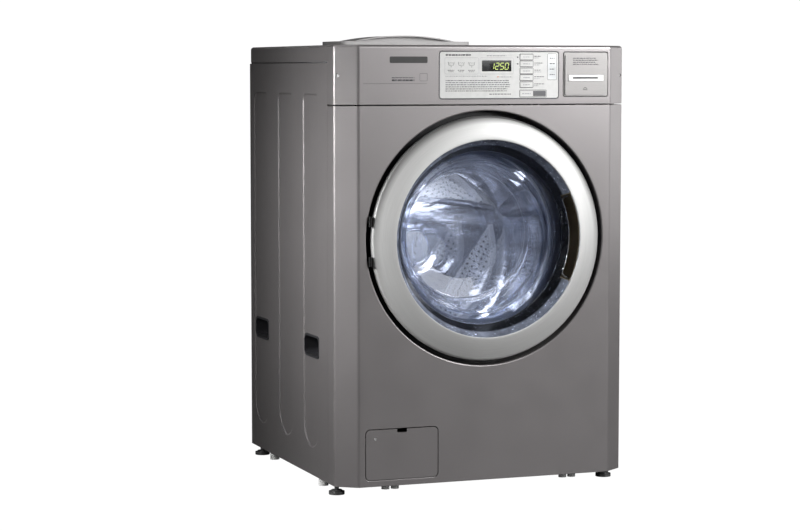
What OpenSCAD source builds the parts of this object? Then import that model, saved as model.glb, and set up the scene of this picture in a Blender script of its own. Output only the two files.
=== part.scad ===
// Front-loading commercial laundry washer with a card reader, closed and standing on its feet.
// X runs to the right as seen from the front, Y to the back and Z up. The origin is on the floor
// under the middle of the whole machine. Inside the modules, depths are counted from the flat
// front face and from_front() moves them into the row's frame.

/* [Cabinet] */
// Width over both side panels
cabinet_w = 686; // [676:1:700]
// Height of the top plate above the floor
cabinet_top = 983; // [975:1:995]
// Height of the cabinet's lower edge above the floor
base_z = 25; // [24:1:26]
// Width of each bevelled wing beside the flat front
wing_run = 45; // [42:1:46]
// Depth of each bevelled wing
wing_depth = 33; // [30:1:36]
// Depth at which the front shell meets the side panels
seam_y = 73; // [70:1:76]
// Depth of the rear edge of the side panels
side_back = 655; // [650:1:656]
// Depth of the whole machine, from the door's lip to the hose threads
machine_depth = 720; // [716:1:726]
// Thickness of the cabinet sheet
sheet = 1.5; // [1.2:0.1:1.8]
// Height of the joint between the front panel and the console
console_seam_z = 853; // [851:1:855]
// Visible gap between neighbouring cabinet panels
panel_gap = 4; // [3:0.5:5]
// Height of the top plate's side skirt
skirt_h = 37; // [34:1:39]

/* [Side panels] */
// Depth of the pressed areas in the side panels
press_depth = 2.5; // [1.5:0.5:3]
// Width of each pressed area
press_w = 114; // [110:1:118]
// Lowest point of the pressed areas
press_z0 = 86; // [80:1:95]
// Highest point of the pressed areas
press_z1 = 878; // [860:1:885]
// Width of each hand grip opening
grip_w = 98; // [90:1:100]
// Height of each hand grip opening
grip_h = 41; // [38:1:44]
// Height of the grips' lower edge
grip_z = 295; // [285:1:305]

/* [Door] */
// Height of the door's centre
door_z = 560; // [558:1:562]
// Radius of the round opening in the front panel
opening_r = 280; // [279.5:0.5:282]
// Outer radius of the steel trim ring
ring_outer_r = 269.5; // [269:0.5:270]
// Inner radius of the steel trim ring
ring_inner_r = 217; // [216:0.5:218]
// How far the ring's inner lip stands ahead of the flat front
ring_lip = 20.5; // [20:0.5:21]
// How far the ring's outer edge stands ahead of the flat front
ring_edge = 4.5; // [4:0.5:5]
// Half of the angle that the door's finger grip spans, in degrees
grip_half_angle = 27; // [25:1:28]
// Distance of the hinge axis to the left of the door's centre
hinge_x = 271.5; // [271.3:0.1:271.6]
// Depth of the hinge axis, which is ahead of the flat front
hinge_y = -3; // [-3.2:0.1:-2.8]

/* [Drum and tub] */
// Outer radius of the drum
drum_r = 270; // [262:1:272]
// Outer radius of the tub
tub_r = 300; // [298:1:302]
// Distance of the drum's back wall from the flat front, along the drum's axis
drum_back = 476; // [470:1:478]
// Radius of the round corner between the drum's wall and its back
drum_corner_r = 52; // [40:1:56]
// Slope of the drum's axis, which falls towards the back
drum_tilt = 8; // [7.5:0.5:8.5]
// Radius of the drive shaft
shaft_r = 15; // [14:0.5:16]
// Running clearance of the shaft, the hinge pins and the screw stems
running_gap = 0.05; // [0.03:0.01:0.08]

/* [Console] */
// Width of each cycle button
button_w = 30; // [28:1:30]
// Height of each cycle button
button_h = 11.3; // [10:0.1:11.5]
// Gap around each button
button_gap = 0.4; // [0.3:0.1:0.5]

/* [Feet] */
// Distance of the feet from the middle of the machine
foot_x = 323; // [320:1:324]
// Radius of a foot's disc
foot_r = 17.5; // [15:0.5:19]
// Radius of a foot's stem, an M10 thread
stem_r = 5; // [5:0.5:6]

/* [Hidden] */

half_w = cabinet_w / 2;
flat_half = half_w - wing_run;
front_y = ring_lip - machine_depth / 2;
skirt_z = cabinet_top - skirt_h;
wing_length = norm([wing_run, wing_depth]);
wing_normal = [wing_depth, -wing_run] / wing_length;

// Depths of the three pressed areas, and of the grips in the first and the last
press_y = [191, 377, 568];
press_corner_r = 18;
grip_y = [press_y[0], press_y[2]];
grip_corner_r = 12;
grip_depth = 34;

// Drain access door. Its hinge lies behind the face and above the round lower corners, so that
// the corners clear the panel while the door swings down.
access_x0 = -281;
access_x1 = -114;
access_z0 = 39;
access_z1 = 149;
access_axis = [6.2, 51];
access_pin_r = 1.6;
access_barrel_r = 3.2;
coin_x = -259.5;
coin_z = 129;
filter_x = -197;
filter_z = 96;

// Control overlay, display, card reader and buttons on the console
overlay_x = [-113, 173];
overlay_z = [865, 971];
display_x = [-12, 58];
display_z = [926, 950];
button_x = 94;
button_z = [957.5, 942.5, 927, 912.4, 896.8];
start_x = 110;
start_w = 62;
start_z = 877.5;
start_h = 13.6;
reader_x = [184, 292];
reader_z = [871, 968];
card_slot_z = 911.5;
card_slot_w = 62;
screw_z = 917;
screw_x = 335.5;

// Dispenser in the rear middle of the top plate
disp_half = 165;
disp_y = [500, 650];
disp_top = 997;
lid_half = 131;
lid_rise = 14;
lid_r = (lid_half * lid_half + lid_rise * lid_rise) / (2 * lid_rise);
lid_y = [512, 642];
lid_axis = [645, 1000];
well_z = 925;

// Door parts behind the ring
bezel_front = [ring_inner_r - 0.6, -16.5];
bezel_back = [192, 24];
frame_outer_r = 258;
frame_back = 35;
hinge_knuckle_r = 3.8;
hinge_pin_r = 2;
cabinet_knuckle = [44, 54];
leaf_knuckle = [33, 43.7];
latch_x = 247;
latch_y = 24;
latch_pin_r = 1.5;
surround_y = [38, 41];

// Suspension and drive. The drum's sloping axis crosses the door's axis at tilt_y.
tilt_y = 92;
lifter_turn = -20;
motor_z = 490;
bearing_r = 31;
spring_x = 215;
spring_y = [230, 400];
damper_x = 140;
damper_y = 500;
sump_x = -70;
sump_y = 140;
sump_top = 246;
foot_y = [75, 633];

// ---------- helpers ----------

module from_front() {
    translate([0, front_y, 0]) children();
}

// The profile's X is the radius and its Y is the depth behind the flat front.
module about_door_axis() {
    from_front() translate([0, 0, door_z]) rotate([-90, 0, 0]) children();
}

// The same for a profile about the drum's axis, with depths counted along that axis
module about_drum_axis() {
    from_front() translate([0, tilt_y, door_z]) rotate([-90 - drum_tilt, 0, 0])
        translate([0, 0, -tilt_y]) children();
}

// Height of a cylinder about the drum's axis above or below it, over a place on the floor
function drum_side(x, y, r, side) =
    door_z + (side * sqrt(r * r - x * x) - (y - tilt_y) * sin(drum_tilt)) / cos(drum_tilt);

module block(low, high) {
    translate(low) cube(high - low);
}

module rod_x(x0, x1, y, z, r) {
    translate([x0, y, z]) rotate([0, 90, 0]) cylinder(h = x1 - x0, r = r, $fn = 64);
}

module rod_y(x, y0, y1, z, r, fn = 64) {
    translate([x, y0, z]) rotate([-90, 0, 0]) cylinder(h = y1 - y0, r = r, $fn = fn);
}

module rod_z(x, y, z0, z1, r, fn = 64) {
    translate([x, y, z0]) cylinder(h = z1 - z0, r = r, $fn = fn);
}

module rounded_outline(x0, x1, z0, z1, r) {
    translate([x0 + r, z0]) square([x1 - x0 - 2 * r, z1 - z0]);
    translate([x0, z0 + r]) square([x1 - x0, z1 - z0 - 2 * r]);
    for (x = [x0 + r, x1 - r]) {
        for (z = [z0 + r, z1 - r]) {
            translate([x, z]) circle(r = r, $fn = 48);
        }
    }
}

// A plate that faces the front, with rounded corners
module front_plate(xs, zs, y0, y1, r) {
    translate([0, y1, 0]) rotate([90, 0, 0]) linear_extrude(y1 - y0)
        rounded_outline(xs[0], xs[1], zs[0], zs[1], r);
}

// Extrudes an outline drawn in depth and height along X.
module side_prism(x0, x1) {
    translate([x0, 0, 0]) rotate([90, 0, 90]) linear_extrude(x1 - x0) children();
}

function unit(v) = v / norm(v);
function turned(v) = [-v[1], v[0]];
function side_of(path, i) = turned(unit(path[i + 1] - path[i]));
function corner_shift(path, i) =
    let (last = len(path) - 1)
    let (a = side_of(path, max(i - 1, 0)))
    let (b = side_of(path, min(i, last - 1)))
    (a + b) / (1 + a * b);

// A strip of even thickness along a path
module ribbon(path, t) {
    last = len(path) - 1;
    polygon(concat(
        [for (i = [0:last]) path[i] + corner_shift(path, i) * t / 2],
        [for (i = [last:-1:0]) path[i] - corner_shift(path, i) * t / 2]
    ));
}

// Plan of the front shell, set in by t from its outer face
function shell_plan(t) =
    let (wing_y = t * -wing_normal[1])
    let (wing_x = flat_half - t * wing_normal[0])
    let (side_y = wing_y + wing_depth * (half_w - t - wing_x) / wing_run)
    let (flat_x = wing_x + wing_run * (t - wing_y) / wing_depth)
    [
        [-(half_w - t), side_y], [-flat_x, t], [flat_x, t], [half_w - t, side_y]
    ];

module shell_plan_area(t, back) {
    plan = shell_plan(t);
    polygon(concat([[-(half_w - t), back]], plan, [[half_w - t, back]]));
}

module shell_wall(t, z0, z1) {
    translate([0, 0, z0]) linear_extrude(z1 - z0) difference() {
        shell_plan_area(0, seam_y);
        shell_plan_area(t, seam_y + 1);
    }
}

// ---------- cabinet ----------

module base_pan() {
    wall = 2;
    low = [-(half_w - 4), 58, base_z];
    high = [half_w - 4, side_back - 8, base_z + 32];
    color("dimgray") from_front() difference() {
        union() {
            difference() {
                block(low, high);
                block(low + [wall, wall, wall], high + [-wall, -wall, 1]);
                block([-120, 180, base_z - 1], [120, 440, base_z + 3]);
            }
            // flange that carries the front glides
            block([-(flat_half - 18), 16, base_z], [flat_half - 18, low[1] + 1, base_z + wall]);
            for (x = [-foot_x, foot_x]) {
                for (y = foot_y) {
                    rod_z(x, y, base_z, base_z + 26, 11);
                }
            }
        }
        for (x = [-foot_x, foot_x]) {
            for (y = foot_y) {
                rod_z(x, y, base_z - 1, base_z + 40, stem_r + running_gap);
            }
        }
    }
}

module pressed_outline(y, inset) {
    half = press_w / 2 - inset;
    low = press_z0 + press_w / 2;
    high = press_z1 - inset;
    corner = press_corner_r - inset;
    translate([y, low]) circle(r = half, $fn = 96);
    translate([y - half, low]) square([2 * half, high - corner - low]);
    translate([y - half + corner, low]) square([2 * (half - corner), high - low]);
    for (side = [-1, 1]) {
        translate([y + side * (half - corner), high - corner]) circle(r = corner, $fn = 48);
    }
}

module grip_outline(y, grow) {
    rounded_outline(
        y - grip_w / 2 - grow, y + grip_w / 2 + grow,
        grip_z - grow, grip_z + grip_h + grow, grip_corner_r + grow
    );
}

module side_panel() {
    from_front() difference() {
        union() {
            side_prism(half_w - sheet, half_w)
                translate([seam_y + 0.5, base_z])
                    square([side_back - seam_y - 0.5, skirt_z - 2 - base_z]);
            for (y = press_y) {
                side_prism(half_w - sheet - press_depth, half_w) pressed_outline(y, 0);
            }
            // returns along the top and the bottom
            block([half_w - 14, seam_y + 12, skirt_z - 2 - sheet], [half_w, side_back, skirt_z - 2]);
        }
        for (y = press_y) {
            side_prism(half_w - press_depth, half_w + 1) pressed_outline(y, sheet);
        }
        for (y = grip_y) {
            side_prism(half_w - 20, half_w + 1) grip_outline(y, 2.6);
        }
    }
}

module side_panel_left() {
    color("gray") mirror([1, 0, 0]) side_panel();
}

module side_panel_right() {
    color("gray") side_panel();
}

// Moulded cup with a flange that lies on the pressed area
module grip_pocket(y) {
    face = half_w - press_depth;
    difference() {
        union() {
            side_prism(face + 0.1, face + 1.6) grip_outline(y, 5);
            side_prism(face - grip_depth, face + 0.2) grip_outline(y, 2.2);
        }
        side_prism(face - grip_depth + 2.2, face + 3) grip_outline(y, 0);
    }
}

module side_grip_pockets() {
    color("black") from_front() for (y = grip_y) {
        grip_pocket(y);
        mirror([1, 0, 0]) grip_pocket(y);
    }
}

module rear_panel() {
    y0 = side_back - 3;
    color("gray") from_front() difference() {
        union() {
            block([-(half_w - 16), y0, base_z + 4], [half_w - 16, y0 + sheet, skirt_z - 4]);
            for (side = [-1, 1]) {
                block(
                    [side > 0 ? half_w - 17.5 : -(half_w - 2), y0 - 14, base_z + 36],
                    [side > 0 ? half_w - 2 : -(half_w - 17.5), y0 + sheet, skirt_z - 6]
                );
            }
        }
        for (side = [-1, 1]) {
            block(
                [side > 0 ? half_w - 16 : -(half_w - 3.5), y0 - 15, base_z + 30],
                [side > 0 ? half_w - 3.5 : -(half_w - 16), y0, skirt_z]
            );
        }
        rod_y(0, y0 - 1, y0 + 3, motor_z, 190, 128);
        for (x = [-230, -170]) {
            rod_y(x, y0 - 1, y0 + 3, 905, 17);
        }
        rod_y(filter_x, y0 - 1, y0 + 3, filter_z, 14.2);
        block([180, y0 - 1, 860], [250, y0 + 3, 920]);
    }
}

module rear_service_cover() {
    y0 = side_back - 1.4;
    color("silver") from_front() {
        difference() {
            rod_y(0, y0, y0 + 1.2, motor_z, 208, 128);
            for (step = [0:5]) {
                angle = 60 * step;
                rod_y(199 * cos(angle), y0 - 1, y0 + 3, motor_z + 199 * sin(angle), 2.6);
            }
        }
        rod_y(0, y0 + 1.1, y0 + 5, motor_z, 150, 128);
    }
}

module top_plate() {
    low = [-half_w, seam_y + 0.5, skirt_z];
    high = [half_w, side_back + 5, cabinet_top];
    color("gray") from_front() difference() {
        block(low, high);
        block(low + [sheet, sheet, -1], high + [-sheet, -sheet, -sheet]);
        block(
            [-disp_half + 12, disp_y[0] + 12, cabinet_top - 5],
            [disp_half - 12, disp_y[1] - 8, cabinet_top + 1]
        );
    }
}

module front_panel() {
    color("gray") from_front() difference() {
        union() {
            shell_wall(sheet, base_z, console_seam_z - panel_gap / 2);
            rod_y(0, 0, surround_y[0], door_z, opening_r + sheet, 192);
            // lower return, cut back at both wings
            block([-flat_half + 2, sheet - 0.1, base_z], [flat_half - 2, 14, base_z + sheet]);
        }
        rod_y(0, -1, surround_y[0] + 1, door_z, opening_r, 192);
        front_plate(
            [access_x0 - 1.2, access_x1 + 1.2], [access_z0 - 1.4, access_z1 + 1.2],
            -1, sheet + 1, 11
        );
    }
    // ears behind the panel, and the pins that carry the access door
    color("gray") from_front() for (side = [-1, 1]) {
        ear = side < 0 ? access_x0 - 6 : access_x1 + 2.5;
        pin = side < 0 ? ear + 1 : ear - 23;
        block(
            [ear, sheet - 0.1, access_axis[1] - 4.5],
            [ear + 3.5, access_axis[0] + 3.4, access_axis[1] + 4.5]
        );
        rod_x(pin, pin + 25.5, access_axis[0], access_axis[1], access_pin_r);
    }
}

module door_surround() {
    color("black") from_front() difference() {
        union() {
            rod_y(0, surround_y[0] + 0.2, surround_y[1], door_z, opening_r + sheet, 192);
            rod_y(0, 36.5, surround_y[1], door_z, 223, 192);
        }
        rod_y(0, 30, surround_y[1] + 1, door_z, 219, 192);
        // ways through for the hinge arms and the latch
        for (side = [-1, 1]) {
            middle = door_z + side * (cabinet_knuckle[0] + cabinet_knuckle[1]) / 2;
            block(
                [-hinge_x - 2.6, surround_y[0] - 1, middle - 6],
                [-hinge_x + 2.6, surround_y[1] + 1, middle + 6]
            );
        }
        block([latch_x - 9, surround_y[0] - 1, door_z - 13], [latch_x + 12, surround_y[1] + 1, door_z + 13]);
    }
}

module hinge_bracket() {
    color("silver") from_front() {
        for (side = [-1, 1]) {
            low = door_z + (side > 0 ? cabinet_knuckle[0] : -cabinet_knuckle[1]);
            pin_low = door_z + (side > 0 ? leaf_knuckle[0] : -cabinet_knuckle[1]);
            height = cabinet_knuckle[1] - cabinet_knuckle[0];
            pin_height = cabinet_knuckle[1] - leaf_knuckle[0];
            rod_z(-hinge_x, hinge_y, low, low + height, hinge_knuckle_r);
            rod_z(-hinge_x, hinge_y, pin_low, pin_low + pin_height, hinge_pin_r);
            block([-hinge_x - 1.8, hinge_y, low], [-hinge_x + 1.8, surround_y[1] + 3, low + height]);
        }
        block(
            [-hinge_x - 10, surround_y[1] + 0.3, door_z - 80],
            [-hinge_x + 26, surround_y[1] + 3.3, door_z + 80]
        );
    }
}

module door_lock() {
    color("black") from_front() difference() {
        block([latch_x - 16, surround_y[1] + 0.2, door_z - 27], [latch_x + 24, 72, door_z + 27]);
        block([latch_x - 10, surround_y[1] - 1, door_z - 13], [latch_x + 16, 66, door_z + 13]);
    }
}

// One bellows fold behind the glass, then a sleeve that is cut square to the drum's axis
module door_gasket() {
    fold = [
        [216, 41], [212, 38.4], [203, 39.5], [193, 41.5], [183.8, 46.5], [193, 52.5],
        [201.9, 56], [201.9, 140]
    ];
    color("dimgray") difference() {
        about_door_axis() rotate_extrude($fn = 160) ribbon(fold, 2.6);
        about_drum_axis() translate([-250, -250, 96]) cube([500, 500, 100]);
    }
}

module base_glides() {
    color("white") from_front() {
        for (side = [-1, 1]) {
            for (y = [145, 510]) {
                rod_z(side * (half_w - 13), y, 8, base_z - 0.2, 11);
            }
        }
    }
    color("black") from_front() for (side = [-1, 1]) {
        for (offset = [-11, 11]) {
            rod_z(side * 213 + offset, 34, 12, base_z - 0.2, 9);
        }
    }
}

module foot_locknuts() {
    color("silver") from_front() for (x = [-foot_x, foot_x]) {
        for (y = foot_y) {
            difference() {
                rod_z(x, y, base_z - 6.4, base_z - 0.2, 9.2, 6);
                rod_z(x, y, base_z - 8, base_z + 1, stem_r + running_gap);
            }
        }
    }
}

module foot(x, y) {
    color("darkgray") from_front() {
        rod_z(x, y, 0, 7, foot_r);
        rod_z(x, y, 6.9, 10, 12);
        rod_z(x, y, 9.9, base_z + 30, stem_r);
    }
}

module foot_front_left() {
    foot(-foot_x, foot_y[0]);
}

module foot_front_right() {
    foot(foot_x, foot_y[0]);
}

module foot_rear_left() {
    foot(-foot_x, foot_y[1]);
}

module foot_rear_right() {
    foot(foot_x, foot_y[1]);
}

// ---------- console ----------

module wing_axis(side) {
    y = wing_depth * (screw_x - flat_half) / wing_run;
    translate([side * screw_x, y, screw_z])
        rotate([0, 0, side * atan2(wing_normal[0], -wing_normal[1])]) children();
}

module console_housing() {
    wall = 2.5;
    z0 = console_seam_z + panel_gap / 2;
    color("gray") from_front() difference() {
        union() {
            shell_wall(wall, z0, cabinet_top);
            translate([0, 0, cabinet_top - wall]) linear_extrude(wall) shell_plan_area(0, seam_y);
            translate([0, 0, z0]) linear_extrude(wall) difference() {
                shell_plan_area(0, seam_y);
                translate([-200, 25]) square([400, 60]);
            }
            for (side = [-1, 1]) {
                intersection() {
                    wing_axis(side) rod_y(0, 0, 9, 0, 12);
                    block([-half_w, 0, z0], [half_w, seam_y, cabinet_top]);
                }
            }
        }
        front_plate(overlay_x, overlay_z, -1, 1, 8);
        front_plate([display_x[0] - 2, display_x[1] + 2], [display_z[0] - 2, display_z[1] + 2], 0, 4, 2);
        front_plate(reader_x, reader_z, -1, 4, 5);
        for (z = button_z) {
            button_hole(button_x, z, button_w, button_h);
        }
        button_hole(start_x, start_z, start_w, start_h);
        for (side = [-1, 1]) {
            wing_axis(side) {
                rod_y(0, -3, 5.5, 0, 9);
                rod_y(0, 5.4, 20, 0, 2.1);
            }
        }
    }
}

module button_hole(x, z, w, h) {
    grow = button_gap;
    block([x - w / 2 - grow, -2, z - h / 2 - grow], [x + w / 2 + grow, 4, z + h / 2 + grow]);
}

module control_overlay() {
    color("gainsboro") from_front() difference() {
        front_plate(
            [overlay_x[0] + 0.3, overlay_x[1] - 0.3], [overlay_z[0] + 0.3, overlay_z[1] - 0.3],
            -0.4, 0.9, 7.7
        );
        front_plate(display_x, display_z, -1, 2, 1.5);
        for (z = button_z) {
            button_hole(button_x, z, button_w, button_h);
        }
        button_hole(start_x, start_z, start_w, start_h);
    }
}

module display_window() {
    color("black") from_front() {
        front_plate(
            [display_x[0] + 0.2, display_x[1] - 0.2], [display_z[0] + 0.2, display_z[1] - 0.2],
            -0.2, 3, 1.3
        );
        block([display_x[0] + 2, 2.9, display_z[0] + 2], [display_x[1] - 2, 12, display_z[1] - 2]);
    }
}

module card_reader() {
    color("silver") from_front() difference() {
        union() {
            front_plate(
                [reader_x[0] + 3.5, reader_x[1] - 3.5], [reader_z[0] + 3, reader_z[1] - 6],
                -1.2, 2.3, 3
            );
            front_plate(
                [reader_x[0] + 0.4, reader_x[1] - 0.4], [reader_z[0] + 0.4, reader_z[1] - 0.4],
                1.4, 3.6, 4.6
            );
            block(
                [reader_x[0] + 14, 3.5, card_slot_z - 16],
                [reader_x[1] - 14, 66, card_slot_z + 16]
            );
        }
        block(
            [reader_x[0] + 10, -3, card_slot_z - 7.2],
            [reader_x[0] + 97, 2.0, card_slot_z + 7.2]
        );
        block(
            [236 - card_slot_w / 2, -3, card_slot_z - 1.6],
            [236 + card_slot_w / 2, 60, card_slot_z + 1.6]
        );
    }
}

module card_slot_bezel() {
    color("whitesmoke") from_front() difference() {
        block(
            [reader_x[0] + 11, -2.6, card_slot_z - 6.6],
            [reader_x[0] + 96, 1.9, card_slot_z + 6.6]
        );
        block(
            [236 - card_slot_w / 2 - 0.2, -4, card_slot_z - 1.8],
            [236 + card_slot_w / 2 + 0.2, 3, card_slot_z + 1.8]
        );
    }
}

module control_board() {
    color("green") from_front() {
        block([overlay_x[0] + 6, 16, overlay_z[0] + 4], [overlay_x[1] - 4, 17.6, overlay_z[1] - 4]);
        block([display_x[0], 12.4, display_z[0]], [display_x[1], 16.1, display_z[1]]);
        for (z = concat(button_z, [start_z])) {
            rod_y(button_x, 11.2, 16.1, z, 2.5);
        }
        block([-60, 17.5, 885], [-20, 30, 945]);
        rod_y(20, 17.5, 34, 890, 9);
        rod_y(45, 17.5, 34, 890, 9);
    }
}

module button(x, z, w, h) {
    front_plate([x - w / 2, x + w / 2], [z - h / 2, z + h / 2], -1.5, 6, 1);
    block([x - w / 2 - 1, 4, z - h / 2 - 0.9], [x + w / 2 + 1, 6, z + h / 2 + 0.9]);
    rod_y(x, 5.9, 9.6, z, 2);
}

module cycle_button(i) {
    color("white") from_front() button(button_x, button_z[i], button_w, button_h);
}

module cycle_button_1() {
    cycle_button(0);
}

module cycle_button_2() {
    cycle_button(1);
}

module cycle_button_3() {
    cycle_button(2);
}

module cycle_button_4() {
    cycle_button(3);
}

module cycle_button_5() {
    cycle_button(4);
}

module start_button() {
    color("white") from_front() button(start_x, start_z, start_w, start_h);
}

module panel_screws() {
    color("silver") from_front() {
        for (side = [-1, 1]) {
            wing_axis(side) {
                rod_y(0, 2.2, 5.4, 0, 4.5);
                rod_y(0, 5.3, 20, 0, 2);
            }
        }
        for (step = [0:5]) {
            angle = 60 * step;
            x = 199 * cos(angle);
            z = motor_z + 199 * sin(angle);
            rod_y(x, side_back - 0.2, side_back + 2.4, z, 5);
            rod_y(x, side_back - 1.5, side_back, z, 2.5);
        }
    }
}

// ---------- dispenser ----------

module lid_arch(lift, y0, y1) {
    intersection() {
        rod_y(0, y0, y1, disp_top + lid_rise + lift - lid_r, lid_r, 256);
        block([-lid_half, y0, disp_top - 6], [lid_half, y1, disp_top + lid_rise + 5]);
    }
}

module dispenser_housing() {
    color("gray") from_front() difference() {
        union() {
            // broad rim that lies on the top plate
            translate([0, 0, cabinet_top + 0.1]) linear_extrude(disp_top - cabinet_top - 0.1)
                rounded_outline(-disp_half, disp_half, disp_y[0], disp_y[1], 14);
            block([-lid_half + 1, 524, well_z - 2], [lid_half - 1, 636, cabinet_top + 1]);
            lid_arch(-3.2, 524, 633);
        }
        for (i = [-1:1]) {
            block([i * 85 - 39, 528, well_z], [i * 85 + 39, 629, disp_top + 20]);
        }
        // seat of the lid's hinge
        block([-82, 634.5, disp_top - 7], [82, disp_y[1] + 1, disp_top + 1]);
    }
    color("gray") from_front() {
        for (side = [-1, 1]) {
            difference() {
                block(
                    [side > 0 ? 78 : -84, 638, disp_top - 7.5],
                    [side > 0 ? 84 : -78, disp_y[1], disp_top + 7]
                );
                rod_x(-90, 90, lid_axis[0], lid_axis[1], 2.4);
            }
        }
        rod_x(-80, 80, lid_axis[0], lid_axis[1], 2.4);
    }
}

module dispenser_lid() {
    color("gray") from_front() difference() {
        union() {
            difference() {
                lid_arch(0, lid_y[0], lid_y[1] - 6);
                lid_arch(-2.6, lid_y[0] - 1, lid_y[1] - 8.2);
                block([-lid_half - 1, lid_y[0] - 1, disp_top - 8], [lid_half + 1, lid_y[1], disp_top + 0.6]);
            }
            for (side = [-1, 1]) {
                block(
                    [side > 0 ? 40 : -62, 634, disp_top + 0.6],
                    [side > 0 ? 62 : -40, lid_axis[0], disp_top + 6]
                );
                rod_x(side > 0 ? 40 : -62, side > 0 ? 62 : -40, lid_axis[0], lid_axis[1], 4.4);
            }
        }
        rod_x(-90, 90, lid_axis[0], lid_axis[1], 2.4 + running_gap);
    }
}

// ---------- water and power ----------

module inlet_valves() {
    color("white") from_front() {
        block([-255, 600, 885], [-145, 640, 930]);
        for (x = [-230, -170]) {
            rod_y(x, 639, 680, 905, 11);
            difference() {
                rod_y(x, side_back, machine_depth - ring_lip, 905, 13.2);
                rod_y(x, side_back + 8, machine_depth - ring_lip + 1, 905, 9);
            }
        }
    }
}

module power_terminal() {
    color("black") from_front() {
        block([182, 610, 862], [248, side_back - 4, 918]);
        rod_y(215, side_back - 4.1, side_back + 18, 890, 12, 6);
        difference() {
            rod_y(215, side_back + 17.9, side_back + 30, 890, 10);
            rod_y(215, side_back + 10, side_back + 31, 890, 5);
        }
    }
}

module drain_pump() {
    color("white") from_front() difference() {
        union() {
            rod_y(filter_x, 42, 120, filter_z, 34);
            rod_y(filter_x, 119.9, 170, filter_z, 26);
            rod_x(filter_x + 10, sump_x - 40.3, sump_y, filter_z, 19);
            rod_y(filter_x, 169.9, 210, filter_z, 11);
            block([filter_x - 30, 60, base_z + 2.2], [filter_x + 30, 110, filter_z - 20]);
        }
        rod_y(filter_x, 41, 116, filter_z, 30);
        rod_x(filter_x + 20, sump_x - 39, sump_y, filter_z, 15);
    }
}

module filter_knob() {
    color("steelblue") from_front() {
        rod_y(filter_x, 30, 41.6, filter_z, 33);
        block([filter_x - 26, 19, filter_z - 3], [filter_x + 26, 30.1, filter_z + 3]);
        rod_y(filter_x, 41.5, 100, filter_z, 29.4);
    }
}

module drain_hose() {
    color("dimgray") from_front() {
        difference() {
            rod_y(filter_x, 196, side_back - 3.2, filter_z, 14);
            rod_y(filter_x, 195, side_back, filter_z, 11.2);
        }
        difference() {
            rod_y(filter_x, side_back - 3.3, side_back + 34, filter_z, 12.5);
            rod_y(filter_x, side_back - 4, side_back + 35, filter_z, 10);
        }
    }
}

module sump_hose() {
    bend = 40;
    color("dimgray") from_front() {
        difference() {
            rod_z(sump_x, sump_y, filter_z + bend, sump_top, 23.6);
            rod_z(sump_x, sump_y, filter_z + bend - 1, sump_top + 1, 20.3);
        }
        translate([sump_x - bend, sump_y, filter_z + bend]) rotate([90, 0, 0])
            rotate_extrude(angle = 90, start = 270, $fn = 96)
                translate([bend, 0]) difference() {
                    circle(r = 23, $fn = 64);
                    circle(r = 19.5, $fn = 64);
                }
    }
}

// ---------- tub ----------

module tub_front() {
    wall = [
        [198, 89], [198, 99], [206, 104], [tub_r - 16, 104], [tub_r - 2, 118], [tub_r - 2, 322]
    ];
    color("lightgray") {
        about_drum_axis() rotate_extrude($fn = 160) {
            ribbon(wall, 4);
            translate([tub_r - 1, 310]) square([7, 12]);
        }
        // spigot for the sump hose
        difference() {
            from_front() rod_z(sump_x, sump_y, sump_top - 16, sump_top + 44, 20);
            from_front() rod_z(sump_x, sump_y, sump_top - 17, sump_top + 45, 17);
            about_drum_axis() translate([0, 0, 90]) cylinder(h = 230, r = tub_r - 3, $fn = 160);
        }
    }
}

module tub_rear() {
    wall = [
        [tub_r - 2, 322.4], [tub_r - 2, 502], [tub_r - 16, 516], [60, 516], [42, 524]
    ];
    color("lightgray") about_drum_axis() {
        rotate_extrude($fn = 160) {
            ribbon(wall, 4);
            translate([tub_r - 1, 322.4]) square([7, 12]);
            translate([bearing_r, 508]) square([13, 64]);
        }
        for (step = [0:5]) {
            rotate(60 * step) translate([42, -3, 519]) cube([230, 6, 12]);
        }
    }
}

module counterweights() {
    color("slategray") about_drum_axis() {
        rotate_extrude(angle = 140, start = -160, $fn = 160)
            translate([209, 70]) square([82, 31]);
        rotate_extrude(angle = 140, start = 20, $fn = 160)
            translate([209, 83]) square([60, 18]);
    }
}

module drum_bearings() {
    color("silver") about_drum_axis() for (y = [510, 555]) {
        translate([0, 0, y]) difference() {
            cylinder(h = 16, r = bearing_r, $fn = 96);
            translate([0, 0, -1]) cylinder(h = 18, r = shaft_r + running_gap, $fn = 96);
        }
    }
}

module motor_stator() {
    color("peru") about_drum_axis() {
        difference() {
            translate([0, 0, 572.2]) cylinder(h = 18, r = 100, $fn = 96);
            translate([0, 0, 572]) cylinder(h = 20, r = 46, $fn = 96);
        }
        for (step = [0:17]) {
            rotate(20 * step) translate([98, -9, 573]) cube([30, 18, 16]);
        }
    }
}

// ---------- drum ----------

module drum_shell() {
    wall = [
        [189, 126], [186, 120], [191, 114], [200, 112], [drum_r - 12, 112], [drum_r - 0.6, 124],
        for (k = [0:8]) [
            drum_r - 0.6 - drum_corner_r * (1 - cos(k * 90 / 8)),
            drum_back - drum_corner_r * (1 - sin(k * 90 / 8))
        ],
        [52, drum_back]
    ];
    color("silver") about_drum_axis() rotate_extrude($fn = 192) ribbon(wall, 1.2);
}

module drum_spider() {
    y0 = drum_back + 0.8;
    color("gray") about_drum_axis() difference() {
        union() {
            translate([0, 0, y0]) cylinder(h = 26, r = 40, $fn = 96);
            for (step = [0:2]) {
                rotate(120 * step + lifter_turn) translate([30, -18, y0]) cube([drum_r - drum_corner_r - 32, 36, 16]);
            }
        }
        translate([0, 0, y0 - 1]) cylinder(h = 30, r = shaft_r, $fn = 96);
    }
}

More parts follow.
